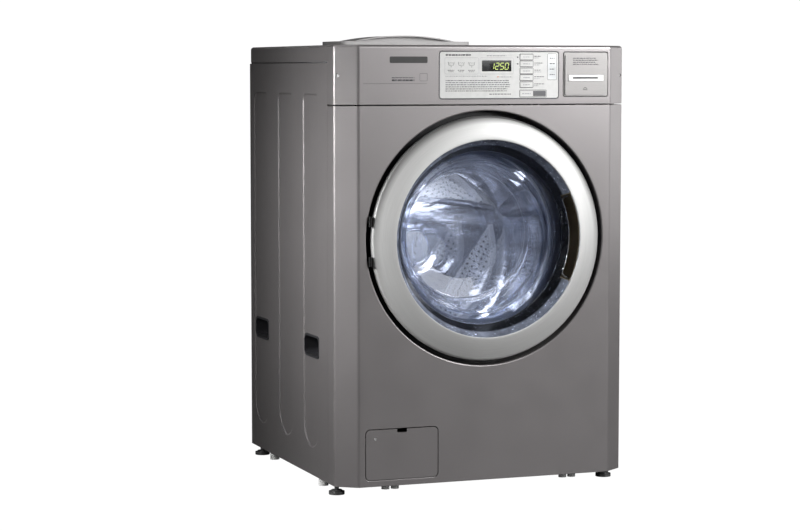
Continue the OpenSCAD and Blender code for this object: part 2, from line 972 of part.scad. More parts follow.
module drum_lifters() {
    foot_half = 32;
    tip_half = 13;
    base = drum_r - 4;
    tip = base - 58;
    t = 2.5;
    length = drum_back - drum_corner_r - 4 - 128;
    color("white") about_drum_axis() for (step = [0:2]) {
        rotate(120 * step + lifter_turn) difference() {
            translate([0, 0, 128]) linear_extrude(length)
                polygon([[base, -foot_half], [base, foot_half], [tip, tip_half], [tip, -tip_half]]);
            translate([0, 0, 128 + t]) linear_extrude(length - 2 * t)
                polygon([
                    [base + 1, -foot_half + 2 * t], [base + 1, foot_half - 2 * t],
                    [tip + t, tip_half - t], [tip + t, -tip_half + t]
                ]);
        }
    }
}

module drive_shaft() {
    color("silver") about_drum_axis() {
        translate([0, 0, drum_back + 1]) cylinder(h = 133, r = shaft_r, $fn = 96);
        translate([0, 0, drum_back + 132.9]) cylinder(h = 6, r = 12, $fn = 6);
    }
}

module motor_rotor() {
    color("dimgray") about_drum_axis() rotate_extrude($fn = 160) {
        polygon([
            [shaft_r, 594], [24, 594], [24, 601], [134, 601], [134, 570], [138, 570],
            [138, 604.5], [shaft_r, 604.5]
        ]);
    }
}

module drum_hub_cap() {
    y = drum_back - 0.8;
    color("gainsboro") about_drum_axis() rotate_extrude($fn = 128) polygon([
        [0, y - 14], [26, y - 12.5], [38, y - 9], [45, y - 3], [46, y], [0, y]
    ]);
}

// ---------- door ----------

function ring_face(r) =
    let (run = (r - ring_inner_r) / (ring_outer_r - 3 - ring_inner_r))
    -ring_lip + (ring_lip - ring_edge - 1.2) * pow(run, 1.5);

module door_trim_ring() {
    t = 1.2;
    steps = 8;
    radii = [
        for (i = [0:steps]) ring_inner_r + t / 2 + i * (ring_outer_r - 3.6 - ring_inner_r) / steps
    ];
    face = [for (r = radii) [r, ring_face(r) + t / 2]];
    path = concat(
        [[ring_inner_r + t / 2, -16.8]], face,
        [[ring_outer_r - t / 2, -ring_edge + 3], [ring_outer_r - t / 2, 5]]
    );
    color("silver") about_door_axis() rotate_extrude($fn = 192) ribbon(path, t);
}

module door_frame() {
    color("black") from_front() difference() {
        union() {
            translate([0, 0, door_z]) rotate([-90, 0, 0]) rotate_extrude($fn = 192) polygon([
                [frame_outer_r, -2], [frame_outer_r, frame_back], [193, frame_back],
                [193, frame_back - 2.4], [frame_outer_r - 3, frame_back - 2.4],
                [frame_outer_r - 3, -2]
            ]);
            // lugs and pin for the latch hook, and bosses under the hinge leaf
            for (z = [door_z - 12, door_z + 9]) {
                block([latch_x - 4, latch_y - 3, z], [latch_x + 4, frame_back - 2, z + 3]);
            }
            rod_z(latch_x, latch_y, door_z - 11, door_z + 11, latch_pin_r);
            for (side = [-1, 1]) {
                rod_y(-243, 12.2, frame_back - 2, door_z + side * 38.3, 4.5);
            }
        }
        // slots for the hinge leaf and for the latch
        for (side = [-1, 1]) {
            middle = door_z + side * 38.35;
            block([-frame_outer_r - 4, 7.6, middle - 6], [-frame_outer_r + 14, 12.6, middle + 6]);
        }
        block(
            [latch_x - 6, frame_back - 4, door_z - 9],
            [latch_x + 7, frame_back + 2, door_z + 9]
        );
    }
}

module door_bezel() {
    a = grip_half_angle;
    color([0.12, 0.12, 0.14]) about_door_axis() {
        difference() {
            rotate_extrude($fn = 192) polygon([
                bezel_front, bezel_back, bezel_back + [0, 3], bezel_back + [3.6, 3],
                bezel_front + [2.6, 1.8], bezel_front + [2.6, 0]
            ]);
            rotate_extrude(angle = 2 * a, start = -a, $fn = 192)
                translate([199, -30]) square([15, 60]);
        }
        // finger trough that reaches out behind the steel ring
        difference() {
            rotate_extrude(angle = 2 * a + 1, start = -a - 0.5, $fn = 192)
                translate([197, 9]) square([43, 21]);
            rotate_extrude(angle = 2 * a, start = -a, $fn = 192)
                translate([199, 0]) square([39, 28]);
        }
        rotate_extrude(angle = 2 * a + 1, start = -a - 0.5, $fn = 192)
            polygon([[238, 9.5], [240, 9.5], [240, -8.6], [219.3, -12.6], [219.3, -10.4], [238, -6.6]]);
        for (end = [-a - 0.5, a]) {
            rotate_extrude(angle = 0.5, start = end, $fn = 192) polygon([
                [199, 10], [199, 7], [214, -11.5], [219.3, -12.6], [240, -8.6], [240, 10]
            ]);
        }
    }
}

module door_glass() {
    t = 4.5;
    path = [
        [196.6, 30], [190, 30], [172, 52], [166, 70], [153, 118], [146, 130], [132, 137.5],
        [100, 141], [50, 143], [0, 143.5]
    ];
    color([0.55, 0.6, 0.7, 0.35]) about_door_axis() rotate_extrude($fn = 192) difference() {
        ribbon(path, t);
        translate([-20, 100]) square([20, 60]);
    }
}

module door_hinge_leaf() {
    color("silver") from_front() difference() {
        union() {
            for (side = [-1, 1]) {
                low = door_z + (side > 0 ? leaf_knuckle[0] : -leaf_knuckle[1]);
                height = leaf_knuckle[1] - leaf_knuckle[0];
                rod_z(-hinge_x, hinge_y, low, low + height, hinge_knuckle_r);
                block([-hinge_x - 1.8, hinge_y, low], [-hinge_x + 1.8, 12, low + height]);
                block([-hinge_x - 1.8, 8, low], [-236, 12, low + height]);
            }
            block([-249, 8, door_z - 40], [-236, 12, door_z + 40]);
        }
        rod_z(-hinge_x, hinge_y, door_z - 60, door_z + 60, hinge_pin_r + running_gap);
    }
}

module latch_hook() {
    color("silver") from_front() difference() {
        union() {
            rod_z(latch_x, latch_y, door_z - 8, door_z + 8, 3.6);
            block([latch_x - 2, latch_y, door_z - 6], [latch_x + 2, 58, door_z + 6]);
            block([latch_x + 1.9, 50, door_z - 6], [latch_x + 6, 58, door_z + 6]);
        }
        rod_z(latch_x, latch_y, door_z - 9, door_z + 9, latch_pin_r + running_gap);
    }
}

// ---------- drain access door ----------

module access_door() {
    inner_x0 = access_x0 + 12;
    inner_x1 = access_x1 - 12;
    color("gray") from_front() difference() {
        union() {
            front_plate([access_x0, access_x1], [access_z0, access_z1], 0, 2.5, 10);
            difference() {
                block([inner_x0, 2.4, access_z0 + 1], [inner_x1, 7.2, access_z1 - 8]);
                block([inner_x0 + 2, 2, access_z0 + 9], [inner_x1 - 2, 8, access_z1 - 10]);
            }
            for (x = [inner_x0, inner_x1 - 12]) {
                rod_x(x, x + 12, access_axis[0], access_axis[1], access_barrel_r);
                block([x, 2.4, access_axis[1] - 3], [x + 12, access_axis[0], access_axis[1] + 3]);
            }
            rod_y(coin_x, 2.4, 4, coin_z, 6.5);
        }
        // finger notch in the upper edge
        front_plate([-209, -186], [access_z1 - 8, access_z1 + 5], -1, 3, 3);
        rod_y(coin_x, -1, 9, coin_z, 3.3);
        rod_x(access_x0, access_x1, access_axis[0], access_axis[1], access_pin_r + running_gap);
    }
}

module coin_lock() {
    color("silver") from_front() difference() {
        union() {
            rod_y(coin_x, -0.4, 9.2, coin_z, 3.25);
            block([coin_x - 3, 7.4, coin_z - 24], [coin_x + 3, 9.2, coin_z + 3]);
        }
        block([coin_x - 2.6, -1, coin_z - 0.5], [coin_x + 2.6, 0.6, coin_z + 0.5]);
    }
}

// ---------- suspension ----------

module suspension_springs() {
    color("silver") from_front() for (side = [-1, 1]) {
        for (y = spring_y) {
            low = drum_side(spring_x, y, tub_r + 8, 1) + 6;
            difference() {
                rod_z(side * spring_x, y, low + 20, 930, 11);
                rod_z(side * spring_x, y, low + 19, 931, 8);
            }
            rod_z(side * spring_x, y, low, low + 20.5, 2);
            block([side * spring_x - 8, y - 2, low + 19], [side * spring_x + 8, y + 2, low + 22]);
            block([side * spring_x - 8, y - 2, 929], [side * spring_x + 8, y + 2, 932]);
            rod_z(side * spring_x, y, 931, 946, 2);
        }
    }
}

module suspension_dampers() {
    color("dimgray") from_front() for (side = [-1, 1]) {
        x = side * damper_x;
        top = drum_side(damper_x, damper_y, tub_r + 8, -1) - 6;
        rod_z(x, damper_y, base_z + 34, top - 60, 14);
        rod_z(x, damper_y, top - 61, top, 6);
        block([x - 6, damper_y - 20, base_z + 2.2], [x + 6, damper_y + 20, base_z + 34.1]);
    }
}

base_pan();
side_panel_left();
side_panel_right();
side_grip_pockets();
rear_panel();
rear_service_cover();
top_plate();
front_panel();
door_surround();
console_housing();
control_overlay();
display_window();
card_reader();
card_slot_bezel();
control_board();
panel_screws();
dispenser_housing();
inlet_valves();
suspension_springs();
suspension_dampers();
drain_pump();
drain_hose();
sump_hose();
door_lock();
hinge_bracket();
power_terminal();
foot_locknuts();
door_gasket();
base_glides();
tub_front();
tub_rear();
counterweights();
motor_stator();
drum_bearings();
drum_shell();
drum_spider();
drum_lifters();
drive_shaft();
motor_rotor();
drum_hub_cap();
door_trim_ring();
door_frame();
door_bezel();
door_glass();
door_hinge_leaf();
latch_hook();
cycle_button_1();
cycle_button_2();
cycle_button_3();
cycle_button_4();
cycle_button_5();
start_button();
access_door();
coin_lock();
filter_knob();
dispenser_lid();
foot_front_left();
foot_front_right();
foot_rear_left();
foot_rear_right();
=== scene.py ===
"""Looks of a front-load commercial laundry washer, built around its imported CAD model."""

import math
import random

import bmesh
import bpy
from mathutils import Matrix, Vector
from mathutils.geometry import delaunay_2d_cdt


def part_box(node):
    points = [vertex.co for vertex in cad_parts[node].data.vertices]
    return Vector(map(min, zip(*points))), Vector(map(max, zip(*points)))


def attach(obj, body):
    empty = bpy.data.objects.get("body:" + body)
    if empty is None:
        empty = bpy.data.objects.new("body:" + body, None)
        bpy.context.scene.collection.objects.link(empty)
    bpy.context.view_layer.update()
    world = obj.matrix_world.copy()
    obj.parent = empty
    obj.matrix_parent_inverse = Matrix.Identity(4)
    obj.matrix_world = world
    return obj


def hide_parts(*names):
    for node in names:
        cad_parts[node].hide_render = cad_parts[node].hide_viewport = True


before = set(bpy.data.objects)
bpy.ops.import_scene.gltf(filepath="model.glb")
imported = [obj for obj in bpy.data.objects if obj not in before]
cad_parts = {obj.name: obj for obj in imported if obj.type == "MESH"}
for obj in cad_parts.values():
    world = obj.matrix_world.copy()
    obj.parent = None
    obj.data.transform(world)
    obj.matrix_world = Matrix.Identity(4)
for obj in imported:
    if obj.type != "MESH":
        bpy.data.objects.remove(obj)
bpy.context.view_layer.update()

MM = 0.001
WELD = 2e-6  # points closer than this, in metres, are one point

# ---------- driving sizes, from the frame ----------

panel_low, panel_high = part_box("front_panel")
top_low, top_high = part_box("top_plate")
console_low, console_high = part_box("console_housing")
ring_low, ring_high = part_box("door_trim_ring")
side_low, side_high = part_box("side_panel_right")
drum_low, drum_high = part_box("drum_shell")

HALF_W = panel_high.x
FRONT = panel_low.y
SEAM = panel_high.y
DOOR_Z = (ring_low.z + ring_high.z) / 2
RING_R = ring_high.x
SHARPEST = 0.4  # the least cosine a strip's corner is widened for
WING_RUN = 45 * MM
WING_DEPTH = 33 * MM
FLAT_HALF = HALF_W - WING_RUN
OPENING_R = RING_R + 10.5 * MM
DRUM_TILT = math.radians(8)
TILT_DEPTH = 92


def depth(mm):
    """Y of a depth in millimetres behind the flat front face."""
    return FRONT + mm * MM


def polar(r, d, a):
    """Point at a radius and depth in millimetres and an angle about the door's axis."""
    return (r * MM * math.cos(a), depth(d), DOOR_Z + r * MM * math.sin(a))


def facing(loop, d):
    """Points of a loop in the plane that lies at depth d and faces the front."""
    return [(p.x, depth(d), p.y) for p in loop]


def on_front(d):
    """Turns a 2D point into one in the plane at depth d."""
    return lambda p: (p.x, depth(d), p.y)


def level(path, z):
    """Points of a plan at one height."""
    return [(p.x, p.y, z) for p in path]


# ---------- mesh helpers ----------


def link(name, data):
    """Adds an object for a mesh, a curve, a light or a camera."""
    obj = bpy.data.objects.new(name, data)
    bpy.context.collection.objects.link(obj)
    return obj


def smooth(obj, angle=35, weighted=True):
    """Smooth shading with sharp edges above an angle, and normals that keep flat faces flat."""
    obj.data.shade_smooth()
    obj.data.set_sharp_from_angle(angle=math.radians(angle))
    if weighted:
        m = obj.modifiers.new("normals", "WEIGHTED_NORMAL")
        m.keep_sharp = True
        m.weight = 60


def tidy(mesh):
    """Joins coincident points and turns the faces outwards."""
    bm = bmesh.new()
    bm.from_mesh(mesh)
    bmesh.ops.remove_doubles(bm, verts=bm.verts, dist=WELD)
    bmesh.ops.dissolve_degenerate(bm, edges=bm.edges, dist=WELD / 2)
    bmesh.ops.recalc_face_normals(bm, faces=bm.faces)
    bm.to_mesh(mesh)
    bm.free()


def build(name, verts, faces, material, angle=35, weighted=True, flip=None):
    mesh = bpy.data.meshes.new(name)
    mesh.from_pydata([tuple(v) for v in verts], [], faces)
    tidy(mesh)
    if flip is not None:
        face_towards(mesh, flip)
    mesh.materials.append(material)
    obj = link(name, mesh)
    smooth(obj, angle, weighted)
    return obj


def face_towards(mesh, direction):
    """Flips an open sheet whose faces point away from a direction on the whole."""
    total = sum((p.normal * p.area for p in mesh.polygons), Vector())
    if total.dot(Vector(direction)) < 0:
        mesh.flip_normals()


def place(obj, body, slot, *nodes):
    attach(obj, body)
    if nodes:
        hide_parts(*nodes)
    return obj


def solidify(obj, thickness, offset=-1):
    m = obj.modifiers.new("thickness", "SOLIDIFY")
    m.thickness = thickness
    m.offset = offset
    obj.modifiers.move(len(obj.modifiers) - 1, 0)


def bevel(obj, width):
    m = obj.modifiers.new("edges", "BEVEL")
    m.width = width
    m.segments = 2
    m.limit_method = "ANGLE"
    m.angle_limit = math.radians(50)
    m.harden_normals = True
    m.use_clamp_overlap = True


def rounded(points, radii, steps=6, closed=True):
    """A path with each corner turned into an arc. radii is one number or one per point."""
    pts = [Vector(p) for p in points]
    if not isinstance(radii, (list, tuple)):
        radii = [radii] * len(pts)
    out = []
    for i, p in enumerate(pts):
        r = radii[i]
        if r == 0 or (not closed and i in (0, len(pts) - 1)):
            out.append(p)
            continue
        a = (pts[i - 1] - p).normalized()
        b = (pts[(i + 1) % len(pts)] - p).normalized()
        half = a.angle(b) / 2
        reach = r / math.tan(half)
        centre = p + (a + b).normalized() * (r / math.sin(half))
        start = p + a * reach - centre
        end = p + b * reach - centre
        turn = start.angle(end)
        for k in range(steps + 1):
            t = k / steps
            out.append(
                centre
                + start * (math.sin((1 - t) * turn) / math.sin(turn))
                + end * (math.sin(t * turn) / math.sin(turn))
            )
    return out


def rectangle(x0, x1, z0, z1, r=0, steps=6):
    return rounded([(x0, z0), (x1, z0), (x1, z1), (x0, z1)], r, steps)


def circle(x, z, r, steps=96):
    return [
        Vector((x + r * math.cos(2 * math.pi * i / steps), z + r * math.sin(2 * math.pi * i / steps)))
        for i in range(steps)
    ]


def filled(outer, holes, to_3d):
    """Points and triangles of a flat area with holes. to_3d turns a 2D point into a 3D one."""
    points, edges = [], []
    for loop in [outer, *holes]:
        first = len(points)
        points += [Vector((p[0], p[1])) for p in loop]
        edges += [(first + i, first + (i + 1) % len(loop)) for i in range(len(loop))]
    made = delaunay_2d_cdt(points, edges, [], 2 if holes else 1, 1e-9)
    verts, faces = made[0], made[2]
    if holes:
        faces = [f for f in faces if not in_a_hole(verts, f, holes)]
    return [to_3d(v) for v in verts], [tuple(f) for f in faces]


def in_a_hole(verts, face, holes):
    centre = sum((verts[i] for i in face), Vector((0, 0))) / len(face)
    return any(inside(centre, hole) for hole in holes)


def inside(p, loop):
    hit = False
    for i, a in enumerate(loop):
        b = loop[i - 1]
        if (a[1] > p.y) != (b[1] > p.y):
            if p.x < (b[0] - a[0]) * (p.y - a[1]) / (b[1] - a[1]) + a[0]:
                hit = not hit
    return hit


class Sheet:
    """Collects points and faces of one surface."""

    def __init__(self):
        self.verts, self.faces = [], []

    def add(self, verts, faces):
        first = len(self.verts)
        self.verts += [tuple(v) for v in verts]
        self.faces += [tuple(first + i for i in f) for f in faces]

    def strip(self, rows, closed=False):
        """Quads between rows of points that have the same length."""
        n = len(rows[0])
        verts = [p for row in rows for p in row]
        faces = []
        for r in range(len(rows) - 1):
            for i in range(n if closed else n - 1):
                j = (i + 1) % n
                faces.append((r * n + i, r * n + j, (r + 1) * n + j, (r + 1) * n + i))
        self.add(verts, faces)

    def flat(self, outer, holes, to_3d):
        self.add(*filled(outer, holes, to_3d))

    def build(self, name, material, angle=35, weighted=True, flip=None):
        return build(name, self.verts, self.faces, material, angle, weighted, flip)


def lathe(name, profile, material, steps, angle, start=0.0, sweep=360.0):
    """Turns a closed profile of (radius, depth) in millimetres about the door's axis."""
    full = sweep == 360
    rows = []
    for k in range(steps if full else steps + 1):
        a = math.radians(start + sweep * k / steps)
        rows.append([polar(p[0], p[1], a) for p in profile])
    if full:
        rows.append(rows[0])
    sheet = Sheet()
    sheet.strip(rows, closed=True)
    return sheet.build(name, material, angle)


def tilted(obj):
    """Slopes a piece that was built about the door's axis, as the drum and the tub are."""
    pivot = Matrix.Translation((0, depth(TILT_DEPTH), DOOR_Z))
    obj.data.transform(pivot @ Matrix.Rotation(-DRUM_TILT, 4, "X") @ pivot.inverted())
    return obj


def with_normals(points):
    """(point, direction that leads to it, normal to the left) along an open path."""
    pts = [Vector(p) for p in points]
    out = []
    for i, p in enumerate(pts):
        a = (p - pts[i - 1]).normalized() if i else (pts[1] - p).normalized()
        b = (pts[i + 1] - p).normalized() if i < len(pts) - 1 else a
        out.append((p, a, Vector((-(a + b).y, (a + b).x)).normalized()))
    return out


def moved_left(path, distance):
    """An open path moved to its left."""
    return [p + n * distance for p, _, n in with_normals(path)]


def ribbon(path, thickness):
    """Closed profile of a strip of even thickness along a path of (radius, depth)."""
    left, right = [], []
    for p, a, n in with_normals(path):
        half = thickness / 2 / max(SHARPEST, n.dot(Vector((-a.y, a.x))))
        left.append(p + n * half)
        right.append(p - n * half)
    return left + right[::-1]


def tube(name, points, radius, material):
    """A round bar along points."""
    curve = bpy.data.curves.new(name, "CURVE")
    curve.dimensions = "3D"
    curve.bevel_depth = radius
    curve.bevel_resolution = 3
    curve.use_fill_caps = True
    spline = curve.splines.new("POLY")
    spline.points.add(len(points) - 1)
    for point, p in zip(spline.points, points):
        point.co = (*p, 1)
    rough = link(name, curve)
    mesh = bpy.data.meshes.new_from_object(rough)
    bpy.data.objects.remove(rough)
    mesh.name = name
    mesh.materials.clear()
    mesh.materials.append(material)
    obj = link(name, mesh)
    smooth(obj, 50, False)
    return obj


# ---------- materials ----------


class Material:
    """A Principled material with a few short ways to add pattern nodes."""

    def __init__(self, name, color, roughness, metallic=0.0, **sockets):
        self.made = bpy.data.materials.new(name)
        self.made.use_nodes = True
        self.nodes = self.made.node_tree.nodes
        self.links = self.made.node_tree.links
        self.bsdf = self.nodes["Principled BSDF"]
        self.color = color
        self.bsdf.inputs["Base Color"].default_value = (*color, 1)
        self.bsdf.inputs["Roughness"].default_value = roughness
        self.bsdf.inputs["Metallic"].default_value = metallic
        for key, value in sockets.items():
            self.bsdf.inputs[key.replace("_", " ")].default_value = value
        self.place = self.nodes.new("ShaderNodeTexCoord").outputs["Object"]
        self.height = None

    def node(self, kind, **settings):
        made = self.nodes.new(kind)
        for key, value in settings.items():
            setattr(made, key, value)
        return made

    def split(self, source=None):
        """The X, Y and Z of a vector, the object's own coordinates if none is given."""
        made = self.node("ShaderNodeSeparateXYZ")
        self.links.new(source or self.place, made.inputs[0])
        return made.outputs

    def stretched(self, scale, rotation=(0, 0, 0), source=None):
        mapping = self.node("ShaderNodeMapping")
        mapping.inputs["Scale"].default_value = scale
        mapping.inputs["Rotation"].default_value = rotation
        self.links.new(source or self.place, mapping.inputs["Vector"])
        return mapping.outputs["Vector"]

    def noise(self, scale, detail=3, roughness=0.55, source=None):
        made = self.node("ShaderNodeTexNoise")
        made.inputs["Scale"].default_value = scale
        made.inputs["Detail"].default_value = detail
        made.inputs["Roughness"].default_value = roughness
        self.links.new(source or self.place, made.inputs["Vector"])
        return made.outputs["Fac"]

    def cells(self, scale):
        made = self.node("ShaderNodeTexVoronoi")
        made.inputs["Scale"].default_value = scale
        self.links.new(self.place, made.inputs["Vector"])
        return made.outputs["Distance"]

    def ramp(self, source, low, high, start=0.3, end=0.7):
        made = self.node("ShaderNodeMapRange")
        made.inputs["From Min"].default_value = start
        made.inputs["From Max"].default_value = end
        made.inputs["To Min"].default_value = low
        made.inputs["To Max"].default_value = high
        self.links.new(source, made.inputs["Value"])
        return made.outputs["Result"]

    def vary_color(self, source, darker, lighter, start=0.3, end=0.7):
        """The base colour times a number that goes from darker to lighter with source."""
        gain = self.ramp(source, darker, lighter, start, end)
        mix = self.node("ShaderNodeVectorMath", operation="SCALE")
        color_input = self.bsdf.inputs["Base Color"]
        if color_input.is_linked:
            self.links.new(color_input.links[0].from_socket, mix.inputs[0])
        else:
            mix.inputs[0].default_value = self.color
        self.links.new(gain, mix.inputs["Scale"])
        self.links.new(mix.outputs["Vector"], color_input)

    def vary_roughness(self, source, low, high, start=0.3, end=0.7):
        self.links.new(self.ramp(source, low, high, start, end), self.bsdf.inputs["Roughness"])

    def bump(self, source, strength, distance):
        made = self.node("ShaderNodeBump")
        made.inputs["Strength"].default_value = strength
        made.inputs["Distance"].default_value = distance
        self.links.new(source, made.inputs["Height"])
        if self.height:
            self.links.new(self.height, made.inputs["Normal"])
        self.height = made.outputs["Normal"]
        self.links.new(self.height, self.bsdf.inputs["Normal"])

    def around_door(self, radial, turning):
        """Coordinates that run along the radius and around the door's axis."""
        split = self.split()
        lower = self.node("ShaderNodeMath", operation="SUBTRACT")
        lower.inputs[1].default_value = DOOR_Z
        self.links.new(split["Z"], lower.inputs[0])
        flat = self.node("ShaderNodeCombineXYZ")
        self.links.new(split["X"], flat.inputs["X"])
        self.links.new(lower.outputs[0], flat.inputs["Y"])
        length = self.node("ShaderNodeVectorMath", operation="LENGTH")
        self.links.new(flat.outputs[0], length.inputs[0])
        angle = self.node("ShaderNodeMath", operation="ARCTAN2")
        self.links.new(lower.outputs[0], angle.inputs[0])
        self.links.new(split["X"], angle.inputs[1])
        joined = self.node("ShaderNodeCombineXYZ")
        for source, name, scale in (
            (length.outputs["Value"], "X", radial),
            (angle.outputs[0], "Y", turning),
            (split["Y"], "Z", radial),
        ):
            scaled = self.node("ShaderNodeMath", operation="MULTIPLY")
            scaled.inputs[1].default_value = scale
            self.links.new(source, scaled.inputs[0])
            self.links.new(scaled.outputs[0], joined.inputs[name])
        return joined.outputs[0]


def metallic_paint(name, color):
    m = Material(name, color, 0.4, 0.65, Coat_Weight=0.25, Coat_Roughness=0.3)
    flakes = m.cells(2600)
    m.vary_color(flakes, 0.93, 1.06, 0.1, 0.7)
    m.vary_color(m.noise(2.2, 2), 0.98, 1.02)
    m.vary_roughness(m.noise(14, 4), 0.36, 0.42)
    m.bump(m.noise(420, 2), 0.05, 0.0004)
    return m.made


def brushed_ring_steel():
    m = Material("ring_steel", (0.58, 0.58, 0.575), 0.5, 0.4, Anisotropic=0.3)
    lines_per_metre = 900
    turned = m.around_door(lines_per_metre, 3.0)
    lines = m.noise(1.0, 6, 0.7, turned)
    m.vary_color(lines, 0.92, 1.05)
    m.vary_roughness(lines, 0.46, 0.54)
    # painted shade: the rolled outer edge is darkened along the upper half as if it lay in shade, and the
    # face is painted a little darker towards the top
    radius = m.split(turned)["X"]
    height = m.split()["Z"]
    shade = m.node("ShaderNodeMath", operation="MULTIPLY")
    m.links.new(m.ramp(radius, 0, 1, 0.252 * lines_per_metre, 0.266 * lines_per_metre), shade.inputs[0])
    m.links.new(m.ramp(height, 0, 1, DOOR_Z - 0.14, DOOR_Z + 0.1), shade.inputs[1])
    m.vary_color(shade.outputs[0], 1.0, 0.3, 0, 1)
    # painted shade: the face darker towards the top
    m.vary_color(height, 1.0, 0.74, DOOR_Z + 0.05, DOOR_Z + 0.26)
    m.bump(lines, 0.12, 0.0002)
    tangent = m.node("ShaderNodeTangent", direction_type="RADIAL", axis="Y")
    m.links.new(tangent.outputs[0], m.bsdf.inputs["Tangent"])
    return m.made


def brushed_plate(name, color):
    roughness = 0.38
    m = Material(name, color, roughness, 0.6)
    lines = m.noise(60, 5, 0.7, m.stretched((1, 1, 40)))
    m.vary_color(lines, 0.9, 1.08)
    m.vary_roughness(lines, roughness - 0.05, roughness + 0.08)
    m.bump(lines, 0.08, 0.0002)
    return m.made


def plain_steel(name, color, roughness=0.3, metallic=1.0):
    m = Material(name, color, roughness, metallic)
    m.vary_color(m.noise(45, 4), 0.86, 1.08)
    m.vary_roughness(m.noise(90, 4), roughness - 0.07, roughness + 0.1)
    m.bump(m.noise(700, 2), 0.06, 0.0002)
    return m.made


def moulded_plastic(name, color, roughness=0.42, grain=0.12, gloss=0.0):
    m = Material(name, color, roughness, Coat_Weight=gloss, Coat_Roughness=0.08)
    m.vary_color(m.noise(30, 3), 0.94, 1.05)
    m.vary_roughness(m.noise(70, 3), roughness - 0.05, roughness + 0.06)
    m.bump(m.cells(1500), grain, 0.0002)
    return m.made


def polished_plastic(name, color, roughness=0.08):
    m = Material(name, color, roughness, Coat_Weight=0.6, Coat_Roughness=0.03, IOR=1.5)
    m.vary_color(m.noise(20, 3), 0.85, 1.2)
    m.vary_roughness(m.noise(60, 3), roughness - 0.02, roughness + 0.05)
    m.bump(m.noise(18, 2), 0.04, 0.001)
    return m.made


def bezel_plastic():
    """Dark polished plastic with a slate band along its outer edge that carries painted glints, small painted
    reflections; inside that band it is painted near black as painted deep shade.
    """
    m = Material("bezel_plastic", (0.14, 0.157, 0.20), 0.1, Coat_Weight=0.12, Specular_IOR_Level=0.3)
    radius_mm = m.split(m.around_door(1000, 1.0))["X"]
    m.vary_color(m.noise(1.0, 4, 0.6, m.around_door(45, 7.0)), 0.5, 1.7)
    # painted glints: bright flecks that stand in for reflections
    m.vary_color(m.noise(1.0, 3, 0.6, m.around_door(260, 26.0)), 1.0, 7.0, 0.62, 0.74)
    # painted shade: near black inside a radius of about 205 mm
    m.vary_color(radius_mm, 0.06, 1.0, 204.5, 207.0)
    m.vary_roughness(m.noise(60, 3), 0.08, 0.16)
    m.bump(m.noise(90, 3), 0.25, 0.001)
    return m.made


def rubber(name, color):
    m = Material(name, color, 0.6, Sheen_Weight=0.15)
    m.vary_color(m.noise(40, 3), 0.9, 1.08)
    m.vary_roughness(m.noise(120, 3), 0.52, 0.68)
    m.bump(m.noise(900, 2), 0.12, 0.0003)
    return m.made


def drum_steel():
    m = Material("drum_steel", (0.50, 0.515, 0.56), 0.2, 0.8)
    lines = m.noise(1.0, 4, 0.6, m.around_door(300, 2.0))
    m.vary_color(lines, 0.85, 1.05)
    m.vary_roughness(lines, 0.12, 0.24)
    # painted highlights: stretched streaks of lighter and darker colour stand in for swirling reflections
    # along the back plate's arms; the same pattern also bumps the surface
    highlight_streaks = m.noise(1.0, 3, 0.5, m.stretched((7, 5, 26), (0, math.radians(28), 0)))
    m.vary_color(highlight_streaks, 0.55, 1.5, 0.35, 0.68)
    m.bump(highlight_streaks, 0.5, 0.006)
    m.bump(m.noise(9, 2), 0.25, 0.004)
    return m.made


def punched_steel():
    """Drum steel with rows of round holes drawn as near-black dots, painted shade in place of the dark seen
    through real holes, for the flat segments of the back.
    """
    m = Material("drum_holes", (0.55, 0.56, 0.58), 0.35, 0.4)
    split = m.split()
    flat = m.node("ShaderNodeCombineXYZ")
    m.links.new(split["X"], flat.inputs["X"])
    m.links.new(split["Z"], flat.inputs["Y"])
    dots = m.node("ShaderNodeTexVoronoi", voronoi_dimensions="2D")
    dots.inputs["Randomness"].default_value = 0
    dots.inputs["Scale"].default_value = 74
    m.links.new(m.stretched((1, 1, 1), (0, 0, math.radians(30)), flat.outputs[0]), dots.inputs["Vector"])
    # painted shade: each hole is a near-black dot
    m.vary_color(dots.outputs["Distance"], 0.03, 1.0, 0.15, 0.2)
    m.vary_roughness(dots.outputs["Distance"], 0.7, 0.28, 0.15, 0.22)
    m.bump(dots.outputs["Distance"], 0.3, 0.001)
    return m.made


def bowl_glass():
    m = Material(
        "bowl_glass", (0.76, 0.80, 0.90), 0.015, Transmission_Weight=1.0, IOR=1.47, Specular_IOR_Level=0.12
    )
    m.bump(m.noise(7, 2), 0.18, 0.004)
    clear = m.node("ShaderNodeBsdfTransparent")
    clear.inputs["Color"].default_value = (0.82, 0.86, 0.95, 1)
    path = m.node("ShaderNodeLightPath")
    mix = m.node("ShaderNodeMixShader")
    m.links.new(m.ramp(path.outputs["Is Shadow Ray"], 0.35, 1.0, 0, 1), mix.inputs["Fac"])
    m.links.new(m.bsdf.outputs[0], mix.inputs[1])
    m.links.new(clear.outputs[0], mix.inputs[2])
    m.links.new(mix.outputs[0], m.nodes["Material Output"].inputs["Surface"])
    return m.made


def ballast():
    m = Material("ballast", (0.3, 0.3, 0.29), 0.85)
    m.vary_color(m.noise(60, 5), 0.75, 1.2)
    m.bump(m.noise(220, 4), 0.4, 0.001)
    return m.made


def printed(name, color):
    roughness = 0.45
    m = Material(name, color, roughness)
    m.vary_color(m.noise(80, 2), 0.96, 1.04)
    m.vary_roughness(m.noise(150, 2), roughness - 0.04, roughness + 0.05)
    return m.made


def glowing(name, color, strength):
    m = Material(name, (0.02, 0.02, 0.02), 0.4)
    m.bsdf.inputs["Emission Color"].default_value = (*color, 1)
    m.bsdf.inputs["Emission Strength"].default_value = strength
    m.vary_roughness(m.noise(80, 2), 0.3, 0.5)
    return m.made


